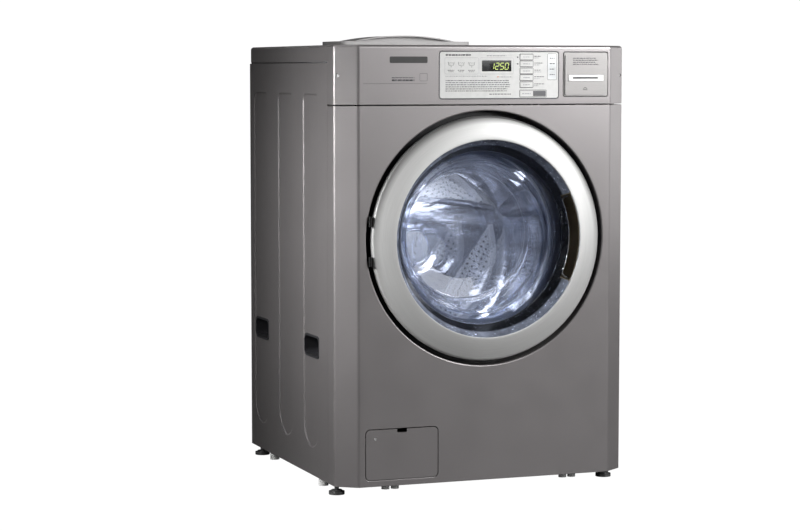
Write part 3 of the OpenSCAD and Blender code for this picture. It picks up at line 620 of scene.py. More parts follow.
PAINT = (0.262, 0.247, 0.249)
MAT = {
    "paint": metallic_paint("cabinet_paint", PAINT),
    "rear": plain_steel("rear_steel", (0.42, 0.41, 0.40), 0.42, 0.8),
    "base": plain_steel("base_steel", (0.12, 0.12, 0.12), 0.5, 0.5),
    "ring": brushed_ring_steel(),
    # black plastic for real black parts, also used as painted shade in recesses, counterbores and seams
    "black": moulded_plastic("black_plastic", (0.012, 0.012, 0.014), 0.38),
    "grip": moulded_plastic("grip_plastic", (0.025, 0.025, 0.028), 0.35, 0.2),
    "bezel": bezel_plastic(),
    "trough": polished_plastic("trough_plastic", (0.21, 0.18, 0.13), 0.16),
    "chrome": plain_steel("grip_chrome", (0.85, 0.85, 0.86), 0.09),
    "overlay": printed("overlay_film", (0.62, 0.62, 0.61)),
    "border": printed("overlay_border", (0.09, 0.09, 0.095)),
    "ink": printed("ink_grey", (0.10, 0.10, 0.105)),
    "name": printed("name_plate_grey", (0.028, 0.027, 0.027)),
    "ink_light": printed("ink_light", (0.36, 0.36, 0.38)),
    "window": polished_plastic("display_lens", (0.006, 0.006, 0.007), 0.06),
    "status": polished_plastic("status_window", (0.68, 0.70, 0.71), 0.2),
    "digit": glowing("display_digit", (0.78, 0.95, 0.25), 1.3),
    "digit_off": printed("display_unlit", (0.02, 0.022, 0.02)),
    "lamp": glowing("status_lamp", (0.9, 0.3, 0.1), 0.7),
    "reader": brushed_plate("reader_plate", (0.28, 0.272, 0.268)),
    "slot": moulded_plastic("reader_bezel", (0.84, 0.84, 0.83), 0.3, 0.05, 0.3),
    "button": moulded_plastic("button_plastic", (0.64, 0.64, 0.63), 0.4, 0.06),
    "board": printed("circuit_board", (0.02, 0.12, 0.05)),
    "screw": plain_steel("screw_steel", (0.78, 0.78, 0.78), 0.25, 0.8),
    "dispenser": moulded_plastic("dispenser_plastic", (0.34, 0.33, 0.33), 0.4, 0.1, 0.2),
    "white": moulded_plastic("white_plastic", (0.74, 0.74, 0.73), 0.4, 0.08),
    "spring": plain_steel("spring_steel", (0.5, 0.5, 0.52), 0.28),
    "damper": moulded_plastic("damper_plastic", (0.04, 0.04, 0.045)),
    "rubber": rubber("hose_rubber", (0.03, 0.03, 0.03)),
    "gasket": rubber("gasket_rubber", (0.055, 0.06, 0.075)),
    "tub": moulded_plastic("tub_plastic", (0.55, 0.56, 0.57), 0.5),
    "ballast": ballast(),
    "copper": plain_steel("copper_winding", (0.72, 0.30, 0.14), 0.35),
    "bearing": plain_steel("bearing_steel", (0.6, 0.6, 0.6), 0.2),
    "drum": drum_steel(),
    "drum_holes": punched_steel(),
    # painted highlight: the shaped bead on the drum's back gets a light matte grey that stands in for a
    # highlight along it
    "bead_highlight": moulded_plastic("drum_bead_highlight", (0.42, 0.43, 0.45), 0.4, 0.05),
    "cast": plain_steel("cast_aluminium", (0.55, 0.55, 0.56), 0.45),
    "lifter": moulded_plastic("lifter_plastic", (0.09, 0.096, 0.12), 0.45, 0.05),
    "hub": moulded_plastic("hub_plastic", (0.42, 0.43, 0.44), 0.35, 0.05, 0.2),
    "glass": bowl_glass(),
    "hinge": plain_steel("hinge_steel", (0.03, 0.03, 0.03), 0.45),
    "nut": plain_steel("nut_steel", (0.42, 0.42, 0.40), 0.35),
    "foot": plain_steel("foot_steel", (0.20, 0.20, 0.20), 0.4, 0.8),
    "filter": moulded_plastic("filter_plastic", (0.06, 0.10, 0.17)),
}

# ---------- CAD nodes that keep their shape ----------

# node: (material, edge radius in millimetres)
KEPT = {
    "base_pan": ("base", 0.5), "side_grip_pockets": ("grip", 0.6), "rear_panel": ("rear", 0.4),
    "rear_service_cover": ("rear", 0.5), "door_surround": ("black", 0.4),
    "display_window": ("window", 0.3), "card_reader": ("reader", 0.4),
    "card_slot_bezel": ("slot", 0.5), "control_board": ("board", 0.2),
    "panel_screws": ("screw", 0.6), "dispenser_housing": ("dispenser", 1.0),
    "inlet_valves": ("white", 0.6), "suspension_dampers": ("damper", 0.6),
    "drain_pump": ("white", 0.8), "drain_hose": ("rubber", 0.6), "sump_hose": ("rubber", 0.5),
    "door_lock": ("black", 0.8), "hinge_bracket": ("hinge", 0.4),
    "power_terminal": ("black", 0.8), "foot_locknuts": ("nut", 0.5),
    "base_glides": ("white", 1.2), "tub_front": ("tub", 0.8), "tub_rear": ("tub", 0.8),
    "counterweights": ("ballast", 2.0), "motor_stator": ("copper", 0.6),
    "drum_bearings": ("bearing", 0.5), "drum_spider": ("cast", 1.5),
    "drive_shaft": ("bearing", 0.5), "motor_rotor": ("base", 0.6), "door_frame": ("black", 0.5),
    "door_hinge_leaf": ("hinge", 0.4), "latch_hook": ("hinge", 0.4),
    **{"cycle_button_%d" % n: ("button", 0.5) for n in range(1, 6)}, "start_button": ("button", 0.5),
    "access_door": ("paint", 0.9), "coin_lock": ("screw", 0.3), "filter_knob": ("filter", 1.0),
    "dispenser_lid": ("dispenser", 1.0),
    **{"foot_%s_%s" % (end, side): ("foot", 0.8) for end in ("front", "rear") for side in ("left", "right")},
}


def finish_kept_nodes():
    for node, (material, edge) in KEPT.items():
        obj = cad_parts[node]
        obj.data.materials.clear()
        obj.data.materials.append(MAT[material])
        bevel(obj, edge * MM)
        m = obj.modifiers.new("normals", "WEIGHTED_NORMAL")
        m.keep_sharp = True


# ---------- cabinet shells ----------


def front_path(inset=0.0):
    """Plan of the front shell from the left seam to the right one, with rounded bends."""
    corners = [
        (-HALF_W, SEAM), (-HALF_W, FRONT + WING_DEPTH), (-FLAT_HALF, FRONT), (FLAT_HALF, FRONT),
        (HALF_W, FRONT + WING_DEPTH), (HALF_W, SEAM),
    ]
    path = rounded(corners, [0, 9 * MM, 14 * MM, 14 * MM, 9 * MM, 0], 8, closed=False)
    return moved_left(path, inset) if inset else path


def split_at_flat(path):
    """Index of the last point of the left bend and the first of the right one."""
    flat = [i for i, p in enumerate(path) if abs(p.y - FRONT) < 1e-7]
    return flat[0], flat[-1]


def lathe_rows(profile, steps):
    """Closed rows for Sheet.strip, one for each point of a profile of (radius, depth)."""
    return [[polar(r, d, 2 * math.pi * k / steps) for k in range(steps)] for r, d in profile]


def quarter(r, steps=6):
    """(along, down) pairs of a quarter round that starts level and ends straight down."""
    return [
        (r * (1 - math.sin(math.pi / 2 * k / steps)), r * (1 - math.cos(math.pi / 2 * k / steps)))
        for k in range(steps + 1)
    ]


FOLD_REACH = 1.6 * MM
FOLD_RISE = 0.9 * MM
FLANGE = 13 * MM
TOP_ROLL = 7 * MM


def folded_edge(sheet, z, up):
    """Turned-in edge of the front shell along a seam at height z."""
    rows = [level(front_path(), z)]
    for step in (1, 2, 3):
        a = math.pi / 2 * step / 3
        rows.append(level(front_path(FOLD_REACH * (1 - math.cos(a))), z + up * FOLD_RISE * math.sin(a)))
    rows.append(level(front_path(FLANGE), z + up * FOLD_RISE))
    sheet.strip(rows)


def rolled_rows(path, top):
    """Rows that roll a wall over into a level top. path gives the plan for an inset."""
    rows = []
    for step in range(9):
        a = math.pi / 2 * step / 8
        rows.append(level(path(TOP_ROLL * (1 - math.cos(a))), top - TOP_ROLL + TOP_ROLL * math.sin(a)))
    return rows


def front_panel():
    sheet = Sheet()
    z0, z1 = panel_low.z, panel_high.z
    path = front_path()
    left, right = split_at_flat(path)
    for part in (path[: left + 1], path[right:]):
        sheet.strip([level(part, z) for z in (z0, z1)])
    lip = 3.2
    opening_mm = OPENING_R / MM
    steps = 192
    door_hole = circle(0, DOOR_Z, OPENING_R + lip * MM, steps)
    access_low, access_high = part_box("access_door")
    gap, roll = 1.4 * MM, 1.0

    def access_loop(grow, radius):
        return rectangle(
            access_low.x - gap - grow * MM, access_high.x + gap + grow * MM,
            access_low.z - gap - grow * MM, access_high.z + gap + grow * MM, radius * MM, 8,
        )

    cut = access_loop(roll, 11.5)
    outer = [(path[left].x, z0), (path[right].x, z0), (path[right].x, z1), (path[left].x, z1)]
    sheet.flat(outer, [door_hole, cut], on_front(0))
    profile = [(opening_mm + a, d) for a, d in quarter(lip)] + [(opening_mm, 37.5)]
    sheet.strip(lathe_rows(profile, steps), closed=True)
    edge = quarter(roll, 3) + [(0, 4.0)]
    sheet.strip([facing(access_loop(a, 10.6 + a), d) for a, d in edge], closed=True)
    # turned-in edges along the bottom and the top
    folded_edge(sheet, z0, -1)
    folded_edge(sheet, z1, 1)
    obj = sheet.build("front_panel_shell", MAT["paint"], 50, True, (0, -1, 0))
    place(obj, "cabinet", "cabinet_paint", "front_panel")


def console():
    sheet = Sheet()
    z0, z1 = console_low.z, console_high.z
    path = front_path()
    left, right = split_at_flat(path)
    flat_top = z1 - TOP_ROLL
    # the wings and bends, with a hole for each security screw
    for part in (path[: left + 1], path[right:]):
        wing_strip(sheet, part, z0, flat_top)
    overlay_low, overlay_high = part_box("control_overlay")
    reader_low, reader_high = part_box("card_reader")
    holes = [
        rectangle(overlay_low.x - 0.3 * MM, overlay_high.x + 0.3 * MM, overlay_low.z - 0.3 * MM,
                  overlay_high.z + 0.3 * MM, 8 * MM, 8),
        rectangle(reader_low.x - 2.6 * MM, reader_high.x + 1.0 * MM, reader_low.z - 2.0 * MM,
                  reader_high.z + 2.2 * MM, 6 * MM, 8),
    ]
    outer = [(path[left].x, z0), (path[right].x, z0), (path[right].x, flat_top), (path[left].x, flat_top)]
    sheet.flat(outer, holes, on_front(0))
    for hole, back in zip(holes, (1.2, 3.8)):
        sheet.strip([facing(hole, d) for d in (0, back)], closed=True)
    # rolled upper edge and the top
    sheet.strip(rolled_rows(front_path, z1))
    sheet.flat(front_path(TOP_ROLL), [], lambda p: (p.x, p.y, z1))
    folded_edge(sheet, z0, -1)
    obj = sheet.build("console_shell", MAT["paint"], 50, True, (0, -1, 0))
    place(obj, "cabinet", "console_paint", "console_housing")
    # painted shade: black floors in the recesses around the overlay and the card reader stand in for the
    # shade in the gaps
    back = Sheet()
    back.flat(front_rectangle(overlay_low, overlay_high, 4), [], on_front(1.3))
    back.flat(front_rectangle(reader_low, reader_high, 3), [], on_front(3.9))
    obj = back.build("console_recess_floors", MAT["black"], 50, True, (0, -1, 0))
    solidify(obj, 1 * MM)
    place(obj, "cabinet", "black_plastic")


def front_rectangle(low, high, grow):
    return rectangle(low.x - grow * MM, high.x + grow * MM, low.z - grow * MM, high.z + grow * MM)


SCREW_Z = console_low.z + 62 * MM
SCREW_X = 335.5 * MM
COUNTERBORE_R = 9 * MM


def wing_strip(sheet, part, z0, z1):
    """One bend, wing and return of the console, with a counterbore in the wing."""
    longest = max(range(len(part) - 1), key=lambda i: (part[i + 1] - part[i]).length if
                  abs(part[i + 1].x - part[i].x) > 1e-4 and abs(part[i + 1].y - part[i].y) > 1e-4 else 0)
    a, b = part[longest], part[longest + 1]
    along = (b - a).normalized()
    normal = Vector((along.y, -along.x))
    if normal.y > 0:
        normal = -normal
    side = 1 if a.x > 0 else -1
    target = Vector((side * SCREW_X, FRONT + WING_DEPTH * (SCREW_X - FLAT_HALF) / WING_RUN))
    middle = (target - a).dot(along)
    for piece in (part[: longest + 1], part[longest + 1:]):
        if len(piece) > 1:
            sheet.strip([[(p.x, p.y, z) for p in piece] for z in (z0, z1)])

    def on_wing(u, v, back=0.0):
        p = a + along * u - normal * back
        return (p.x, p.y, v)

    length = (b - a).length
    reach = min(middle, length - middle)
    radius = min(COUNTERBORE_R, reach - 0.6 * MM)
    hole = circle(middle, SCREW_Z, radius, 48)
    outer = [(0, z0), (length, z0), (length, z1), (0, z1)]
    sheet.flat(outer, [hole], lambda p: on_wing(p.x, p.y))
    rows = []
    for r, back in ((radius, 0), (radius - 0.8 * MM, 1.0 * MM), (radius - 1.2 * MM, 5 * MM),
                    (0.4 * MM, 5.2 * MM)):
        rows.append([on_wing(p.x, p.y, back) for p in circle(middle, SCREW_Z, r, 48)])
    sheet.strip(rows[:2], closed=True)
    # painted shade: the counterbore's wall and floor are black, standing in for the shade in the recess
    cup = Sheet()
    cup.strip(rows[1:], closed=True)
    name = "screw_cup_right" if side > 0 else "screw_cup_left"
    place(cup.build(name, MAT["black"], 50, False), "cabinet", "console_paint")


def top_plate():
    sheet = Sheet()
    x, y0, y1 = HALF_W, top_low.y, top_high.y
    z0, z1 = top_low.z, top_high.z

    def path(inset):
        corners = [(x - inset, y0), (x - inset, y1 - inset), (-x + inset, y1 - inset), (-x + inset, y0)]
        return rounded(corners, [0, 16 * MM - inset, 16 * MM - inset, 0], 8, closed=False)

    # (inset, rise) from the skirt's turned-in edge up to its outer face
    skirt = ((12, 0.2), (1.2, 0), (0.3, 0.5), (0, 1.2))
    rows = [level(path(inset * MM), z0 + rise * MM) for inset, rise in skirt]
    rows += rolled_rows(path, z1)
    sheet.strip(rows)
    sheet.flat(path(TOP_ROLL), [], lambda p: (p.x, p.y, z1))
    # front end, closed against the console
    end = [row[0] for row in rows[1:]] + [row[-1] for row in rows[:0:-1]]
    sheet.add(end, [tuple(range(len(end)))])
    obj = sheet.build("top_plate_shell", MAT["paint"], 50, True, (0, 0, 1))
    place(obj, "cabinet", "cabinet_paint", "top_plate")


def skirt_seam_shade():
    """Black strips behind the seams between the top plate's skirts and the side panels, painted shade that
    stands in for the shade inside each gap.
    """
    sheet = Sheet()
    y0, y1 = top_low.y + 1 * MM, top_high.y - 16 * MM
    for x in (-HALF_W + 0.7 * MM, HALF_W - 0.7 * MM):
        low, high = top_low.z - 2.1 * MM, top_low.z + 0.4 * MM
        sheet.add([(x, y0, low), (x, y1, low), (x, y1, high), (x, y0, high)], [(0, 1, 2, 3)])
    obj = sheet.build("skirt_seam_shade", MAT["black"], 35, False)
    solidify(obj, 0.3 * MM, 0)
    place(obj, "cabinet", "cabinet_paint")


PRESS_Y = (191, 377, 568)
PRESS_HALF = 57
PRESS_Z = (86, 878)
PRESS_CORNER = 18
PRESS_WALL = ((0, 0), (0.7, 0.12), (1.8, 0.7), (3.2, 1.7), (4.4, 2.3), (5.4, 2.5))
GRIP_HALF = 49
GRIP_Z = (295, 336)
GRIP_CORNER = 12


def pressed_loop(middle, inset):
    """Outline of a pressed area in depth and height, in metres, moved in by inset millimetres."""
    half = PRESS_HALF - inset
    low = PRESS_Z[0] + PRESS_HALF
    corner = PRESS_CORNER - inset
    loop = []
    for k in range(33):
        a = math.pi + math.pi * k / 32
        loop.append((middle + half * math.cos(a), low + half * math.sin(a)))
    for side, first in ((1, 0), (-1, 90)):
        for k in range(9):
            a = math.radians(first + 90 * k / 8)
            loop.append((
                middle + side * (PRESS_HALF - PRESS_CORNER) + corner * math.cos(a),
                PRESS_Z[1] - PRESS_CORNER + corner * math.sin(a),
            ))
    return [Vector((depth(y), z * MM)) for y, z in loop]


def side_panel(side):
    sheet = Sheet()

    def at(inward):
        return lambda p: (side * (HALF_W - inward * MM), p[0], p[1])

    y0, y1, z0, z1 = side_low.y, side_high.y, side_low.z, side_high.z
    loops = [pressed_loop(y, 0) for y in PRESS_Y]
    outline = [(y0, z0), (y1, z0), (y1, z1), (y0, z1)]
    sheet.flat(outline, loops, at(0))
    for index, middle in enumerate(PRESS_Y):
        rows = [[at(down)(p) for p in pressed_loop(middle, inset)] for inset, down in PRESS_WALL]
        sheet.strip(rows, closed=True)
        holes = []
        if index != 1:
            holes = [rectangle(
                depth(middle - GRIP_HALF - 2), depth(middle + GRIP_HALF + 2),
                (GRIP_Z[0] - 2) * MM, (GRIP_Z[1] + 2) * MM, (GRIP_CORNER + 2) * MM, 8,
            )]
        sheet.flat(pressed_loop(middle, PRESS_WALL[-1][0]), holes, at(PRESS_WALL[-1][1]))
    # folded edges all round
    sheet.strip([[at(inward)(p) for p in outline] for inward in (0, 12)], closed=True)
    name = "right" if side > 0 else "left"
    obj = sheet.build("side_panel_shell_" + name, MAT["paint"], 40, True, (side, 0, 0))
    place(obj, "cabinet", "cabinet_paint", "side_panel_" + name)


# ---------- door ----------


def ring_profile():
    """Closed profile of the trim ring, a thin sheet that is crowned and rolled at its outer edge."""
    inner, outer = 217.0, RING_R / MM
    lip, edge, t = -20.5, -4.5, 1.2
    face = [(inner, -16.5), (inner, lip + 0.9), (inner + 0.3, lip + 0.25), (inner + 1.0, lip)]
    steps = 14
    for k in range(1, steps + 1):
        run = k / steps
        face.append((inner + 1.0 + (outer - 7 - inner) * run, lip + (edge - 2.6 - lip) * run ** 1.5))
    r0, d0 = face[-1]
    roll_r, roll_d = outer - r0, 6.5
    for k in range(1, 9):
        a = math.pi / 2 * k / 8
        face.append((r0 + roll_r * math.sin(a), d0 + 3.2 + roll_d * (1 - math.cos(a)) - 3.2 * (1 - k / 8)))
    face.append((outer, 5.0))
    return [Vector(p) for p in face] + moved_left(face, t)[::-1]


def door():
    obj = lathe("trim_ring", ring_profile(), MAT["ring"], 256, 60)
    place(obj, "door", "ring_steel", "door_trim_ring")
    bezel()
    bowl()


GRIP_ANGLE = 27.0
CONE = ((216.4, -16.5), (192.0, 24.0))


def on_cone(r):
    (r0, d0), (r1, d1) = CONE
    return d0 + (d1 - d0) * (r0 - r) / (r0 - r1)


def bezel():
    """Dark polished cone inside the ring, with the finger trough on its right side."""
    shell = [CONE[0], (208, on_cone(208) - 0.6), (200, on_cone(200) - 0.6), (192.8, 22.0), (192.0, 24.0),
             (192.0, 27.0), (195.6, 27.0)]
    backs = [(219.0, -14.7), (219.0, -16.5)]
    obj = lathe(
        "bezel_cone", shell + backs, MAT["bezel"], 176, 30, GRIP_ANGLE, 360 - 2 * GRIP_ANGLE
    )
    place(obj, "door", "bezel_plastic", "door_bezel")
    inner = [(202.5, on_cone(202.5) - 0.4), (199.0, on_cone(199.0)), (192.8, 22.0), (192.0, 24.0),
             (192.0, 27.0), (200.5, 27.0), (202.0, 26.0)]
    obj = lathe("bezel_grip_edge", inner, MAT["bezel"], 36, 30, -GRIP_ANGLE, 2 * GRIP_ANGLE)
    place(obj, "door", "bezel_plastic")
    trough = [(202.0, 10.0), (202.0, 26.0), (204.0, 28.6), (236.0, 28.6), (238.6, 26.0), (238.6, -4.0),
              (236.0, -7.2), (219.5, -10.6), (217.0, -12.5), (216.4, -16.0)]
    obj = lathe("bezel_finger_trough", ribbon(trough, 1.2), MAT["trough"], 36, 30,
                -GRIP_ANGLE, 2 * GRIP_ANGLE)
    place(obj, "door", "bezel_plastic")
    # plates that close both ends of the trough
    trough_end = [
        (201.0, 9.0), (201.0, 29.2), (239.2, 29.2), (239.2, -6.0), (219.5, -12.0), (216.4, -16.6),
    ]
    for side in (-1, 1):
        sheet = Sheet()
        rows = []
        for turn in (0, 0.5, 1.0):
            a = math.radians(side * (GRIP_ANGLE + turn - 0.5))
            rows.append([polar(r, d, a) for r, d in trough_end])
        sheet.strip(rows, closed=True)
        sheet.add(rows[0], [tuple(range(6))])
        sheet.add(rows[-1], [tuple(range(6))])
        obj = sheet.build("bezel_trough_end_%s" % ("low" if side < 0 else "high"), MAT["trough"], 30)
        place(obj, "door", "bezel_plastic")
    # a bright line along the trough's inner edge that turns out at both ends
    end, turn, reach = GRIP_ANGLE - 4.2, 2.6, 9.5
    path = [(202.3 + reach * (1 - math.sin(t)), end + turn * math.cos(t)) for t in
            (math.pi / 2 * k / 8 for k in range(8))]
    path += [(202.3, end - 2 * end * k / 40) for k in range(41)]
    path += [(r, -a) for r, a in path[7::-1]]
    points = [polar(r, on_cone(r) - 0.9, math.radians(a)) for r, a in path]
    place(tube("grip_chrome_line", points, 0.9 * MM, MAT["chrome"]), "door", "ring_steel")


def bowl():
    outer = rounded([(196.6, 27.8), (196.6, 32.2), (191.2, 32.2), (174.2, 53.2), (168.2, 71), (155.2, 119),
                     (146, 134), (100, 143.2), (0, 145.7)], [0.8, 0.8, 5, 10, 10, 16, 14, 60, 0], 8, False)
    inner = rounded([(0, 141.3), (100, 138.7), (143, 128.5), (150.8, 117), (163.8, 69), (169.6, 51),
                     (188.9, 27.8)], [0, 60, 12, 14, 12, 12, 0], 8, False)
    profile = [tuple(p) for p in outer] + [tuple(p) for p in inner]
    obj = lathe("glass_bowl", profile, MAT["glass"], 224, 40)
    place(obj, "door", "door_glass", "door_glass")


SLEEVE_R = 201.9
SLEEVE_START = 56.5


def gasket():
    """Lip and one fold behind the glass, then a sleeve cut square to the sloping drum."""
    lip = rounded([(216, 41), (212, 38.6), (203, 39.6), (193, 41.6), (184.6, 46.4), (193, 52.5),
                   (SLEEVE_R, SLEEVE_START)], [0, 1.5, 8, 4, 2.2, 4, 0], 6, False)
    obj = lathe("gasket_lip", ribbon(lip, 2.4), MAT["gasket"], 192, 50)
    place(obj, "cabinet", "gasket_rubber", "door_gasket")
    rows = []
    steps = 144
    for k in range(steps + 1):
        a = 2 * math.pi * k / steps
        end = TILT_DEPTH + 4 + 202 * math.sin(a) * math.sin(DRUM_TILT)
        row = []
        length = end - SLEEVE_START
        for i in range(25):
            wave = 0.9 * math.sin(i * math.pi / 3) * min(1, length / 40)
            row.append(polar(SLEEVE_R + wave, SLEEVE_START + length * i / 24, a))
        rows.append(row)
    sheet = Sheet()
    sheet.strip(rows)
    obj = sheet.build("gasket_sleeve", MAT["gasket"], 60, False)
    solidify(obj, 2 * MM, 0)
    place(obj, "cabinet", "gasket_rubber")


# ---------- drum ----------


def drum():
    outer = round((drum_high.x - drum_low.x) / 2 / MM, 1)
    front, back = 112.0, 476.0
    wall_front, wall_back = front + 14, back - CORNER_R
    # front cover and curled mouth
    mouth = rounded([(189, 126), (186, 120), (190.5, 113.6), (200, 112), (outer - 12, 112),
                     (outer - 0.6, 124), (outer - 0.6, wall_front + 1)], [0, 3, 3, 4, 9, 9, 0], 5, False)
    obj = tilted(lathe("drum_front_cover", ribbon(mouth, 1.2), MAT["drum"], 192, 40))
    place(obj, "drum", "drum_steel", "drum_shell")
    back_plate(outer, wall_back, back)
    perforated_wall(outer - 0.6, wall_front, wall_back)
    for turn in LIFTER_TURNS:
        lifter(turn, outer - 4)
    hub = rounded([(0, 460.0), (30, 461.0), (40, 464.5), (45, 470), (46, 475.2), (0, 475.2)],
                  [0, 10, 6, 4, 0.6, 0], 5, False)
    obj = tilted(lathe("hub_cap", hub, MAT["hub"], 96, 50))
    place(obj, "drum", "lifter_plastic", "drum_hub_cap")
    rim = rounded([(38.5, 464), (42, 461.2), (46.5, 464), (48, 474)], [0, 2, 3, 0], 4, False)
    obj = tilted(lathe("hub_rim", ribbon(rim, 1.0), MAT["drum"], 96, 50))
    place(obj, "drum", "drum_steel")


LIFTER_TURNS = (20, 140, 260)


# Directions of the three perforated segments of the back plate, and its round corner
SEGMENT_TURNS = (-38, 82, 202)
CHORD = 122
CORNER_R = 52
BEAD = 16
HUB_EDGE = 47
TRIANGLE_RISE = 9
DISH = 3


def back_plate(outer, start, back):
    """A raised smooth triangle about the hub, and a perforated segment beside each of its edges."""
    steps, rings = 240, 60
    flat = outer - 0.6 - CORNER_R
    turns = [math.pi / 2 * k / 12 for k in range(12)]
    rim = [(flat + CORNER_R * math.cos(t), start + CORNER_R * math.sin(t)) for t in turns]
    rim += [(flat + 3, back - 0.4), (flat, back - 4.2), (flat - 13, back - 5.0), (flat - BEAD, back)]
    rows = []
    for k in range(steps + 1):
        a = 2 * math.pi * k / steps
        row = [polar(r, d, a) for r, d in rim]
        for i in range(1, rings + 1):
            r = flat - BEAD + (HUB_EDGE - flat + BEAD) * i / rings
            d = back - TRIANGLE_RISE * raised(r, a) - DISH * math.cos(3 * a) * (r / outer) ** 2
            row.append(polar(r, d, a))
        rows.append(row)
    sheet = Sheet()
    sheet.strip(rows)
    obj = sheet.build("drum_back_plate", MAT["drum"], 60, False)
    obj.data.materials.append(MAT["drum_holes"])
    # the bead's faces get the light grey of a painted highlight
    obj.data.materials.append(MAT["bead_highlight"])
    for face in obj.data.polygons:
        x, z = face.center.x / MM, (face.center.z - DOOR_Z) / MM
        r = math.hypot(x, z)
        if past_chord(r, math.atan2(z, x)) > 9 and r < flat + 2:
            face.material_index = 1 if r < flat - BEAD else 2
    solidify(tilted(obj), 1 * MM, 0)
    place(obj, "drum", "drum_steel")


def past_chord(r, a):
    return max(r * math.cos(a - math.radians(turn)) - CHORD for turn in SEGMENT_TURNS)


def raised(r, a):
    """1 on the triangle, 0 on the segments and at the hub, with soft flanks."""
    def soft(t):
        t = max(0.0, min(1.0, t))
        return t * t * (3 - 2 * t)

    return soft(-past_chord(r, a) / 16 + 0.5) * soft((r - 46) / 26) * soft((202 - r) / 14)


HOLE_R = 2.4
HOLE_PITCH = 12.0
CELL_CORNERS = 8


def perforated_wall(radius, start, end):
    """The drum's wall as square cells, each with a round hole that has its own depth."""
    across = int(2 * math.pi * radius / HOLE_PITCH)
    along = int((end - start) / HOLE_PITCH)
    cell_a = 2 * math.pi / across
    cell_y = (end - start) / along
    thickness = 1.0
    verts, faces = [], []
    for i in range(across):
        for j in range(along):
            a, y = (i + 0.5) * cell_a, start + (j + 0.5) * cell_y
            first = len(verts)
            for ring, r in ((0, radius), (1, radius), (2, radius + thickness)):
                for k in range(CELL_CORNERS):
                    turn = 2 * math.pi * k / CELL_CORNERS + math.pi / 4
                    c, s = math.cos(turn), math.sin(turn)
                    if ring == 0:
                        big = max(abs(c), abs(s))
                        verts.append(polar(r, y + s / big * cell_y / 2, a + c / big * cell_a / 2))
                    else:
                        hole = HOLE_R * (0.9 if ring == 2 else 1)
                        verts.append(polar(r, y + hole * s, a + hole * c / radius))
            for ring in (0, 1):
                for k in range(CELL_CORNERS):
                    n = (k + 1) % CELL_CORNERS
                    b = first + ring * CELL_CORNERS
                    faces.append((b + k, b + n, b + CELL_CORNERS + n, b + CELL_CORNERS + k))
    obj = tilted(build("drum_perforated_wall", verts, faces, MAT["drum"], 35, False))
    place(obj, "drum", "drum_steel")


def lifter(turn, base):
    """Hollow paddle with a rounded ridge that narrows towards the front."""
    a = math.radians(turn)
    rows = []
    for d, width, height in ((129, 0.55, 0.5), (136, 0.85, 0.82), (160, 1, 1), (290, 1, 1.0), (396, 1, 0.95),
                             (414, 0.85, 0.75), (419, 0.55, 0.45)):
        outline = rounded([(base, -31 * width), (base - 50 * height, -11 * width), (base - 57 * height, 0),
                           (base - 50 * height, 11 * width), (base, 31 * width)],
                          [0, 10 * width, 6 * width, 10 * width, 0], 4, False)
        rows.append([
            ((x * math.cos(a) - y * math.sin(a)) * MM, depth(d),
             DOOR_Z + (x * math.sin(a) + y * math.cos(a)) * MM) for x, y in outline
        ])
    sheet = Sheet()
    sheet.strip(rows)
    for row in (rows[0], rows[-1]):
        sheet.add(row, [tuple(range(len(row)))])
    name = "lifter_%d" % LIFTER_TURNS.index(turn)
    obj = tilted(sheet.build(name, MAT["lifter"], 60, False))
    nodes = ["drum_lifters"] if turn == LIFTER_TURNS[0] else []
    place(obj, "drum", "lifter_plastic", *nodes)


# ---------- console details ----------


def rectangle_mm(x0, x1, z0, z1, r, steps=5):
    """A rounded rectangle whose sizes are given in millimetres."""
    return rectangle(x0 * MM, x1 * MM, z0 * MM, z1 * MM, r * MM, steps)


def around(sides, margin):
    """(left, right, bottom, top) moved outwards by a margin."""
    x0, x1, z0, z1 = sides
    return (x0 - margin, x1 + margin, z0 - margin, z1 + margin)


def plate(name, x0, x1, z0, z1, radius, front, back, material, body="cabinet", slot="overlay_film"):
    """A thin rounded plate that faces the front. Sizes in millimetres."""
    loop = rectangle_mm(x0, x1, z0, z1, radius)
    sheet = Sheet()
    sheet.flat(loop, [], on_front(front))
    sheet.strip([facing(loop, d) for d in (front, back)], closed=True)
    obj = sheet.build(name, material, 35, True, (0, -1, 0))
    return place(obj, body, slot)


def frame_loop(sheet, x0, x1, z0, z1, radius, line, front):
    """Adds a printed outline."""
    outer = rectangle_mm(x0, x1, z0, z1, radius)
    inner = rectangle_mm(*around((x0, x1, z0, z1), -line), max(0.05, radius - line))
    sheet.strip([facing(loop, front) for loop in (outer, inner)], closed=True)


def dash(sheet, x0, x1, z0, z1, front):
    sheet.add([(x0 * MM, depth(front), z0 * MM), (x1 * MM, depth(front), z0 * MM),
               (x1 * MM, depth(front), z1 * MM), (x0 * MM, depth(front), z1 * MM)], [(0, 1, 2, 3)])


def dash_row(sheet, rng, x0, x1, z, height, front, shortest=2.0, longest=7.0):
    """A row of short bars of uneven length, in place of a printed line."""
    x = x0
    while x < x1:
        end = min(x1, x + rng.uniform(shortest, longest))
        dash(sheet, x, end, z - height / 2, z + height / 2, front)
        x = end + rng.uniform(0.8, 1.4)


def print_piece(name, sheet, material, slot="overlay_film", body="cabinet"):
    obj = sheet.build(name, material, 35, False, (0, -1, 0))
    solidify(obj, 0.05 * MM)
    place(obj, body, slot)


OVERLAY = (-113, 173, 865, 971)
FACE = -0.4
KEY_FACE = -1.56
LABEL_FACE = -0.06
READER_FACE = -1.26
BUTTON_X = (79, 109)
BUTTON_Z = (957.5, 942.5, 927, 912.4, 896.8)
BUTTON_H = 11.3
KEYS = [(*BUTTON_X, z - BUTTON_H / 2, z + BUTTON_H / 2) for z in BUTTON_Z]
START = (79, 141, 870.7, 884.3)
START_Z = 877.5
DISPLAY = (-12, 58, 926, 950)


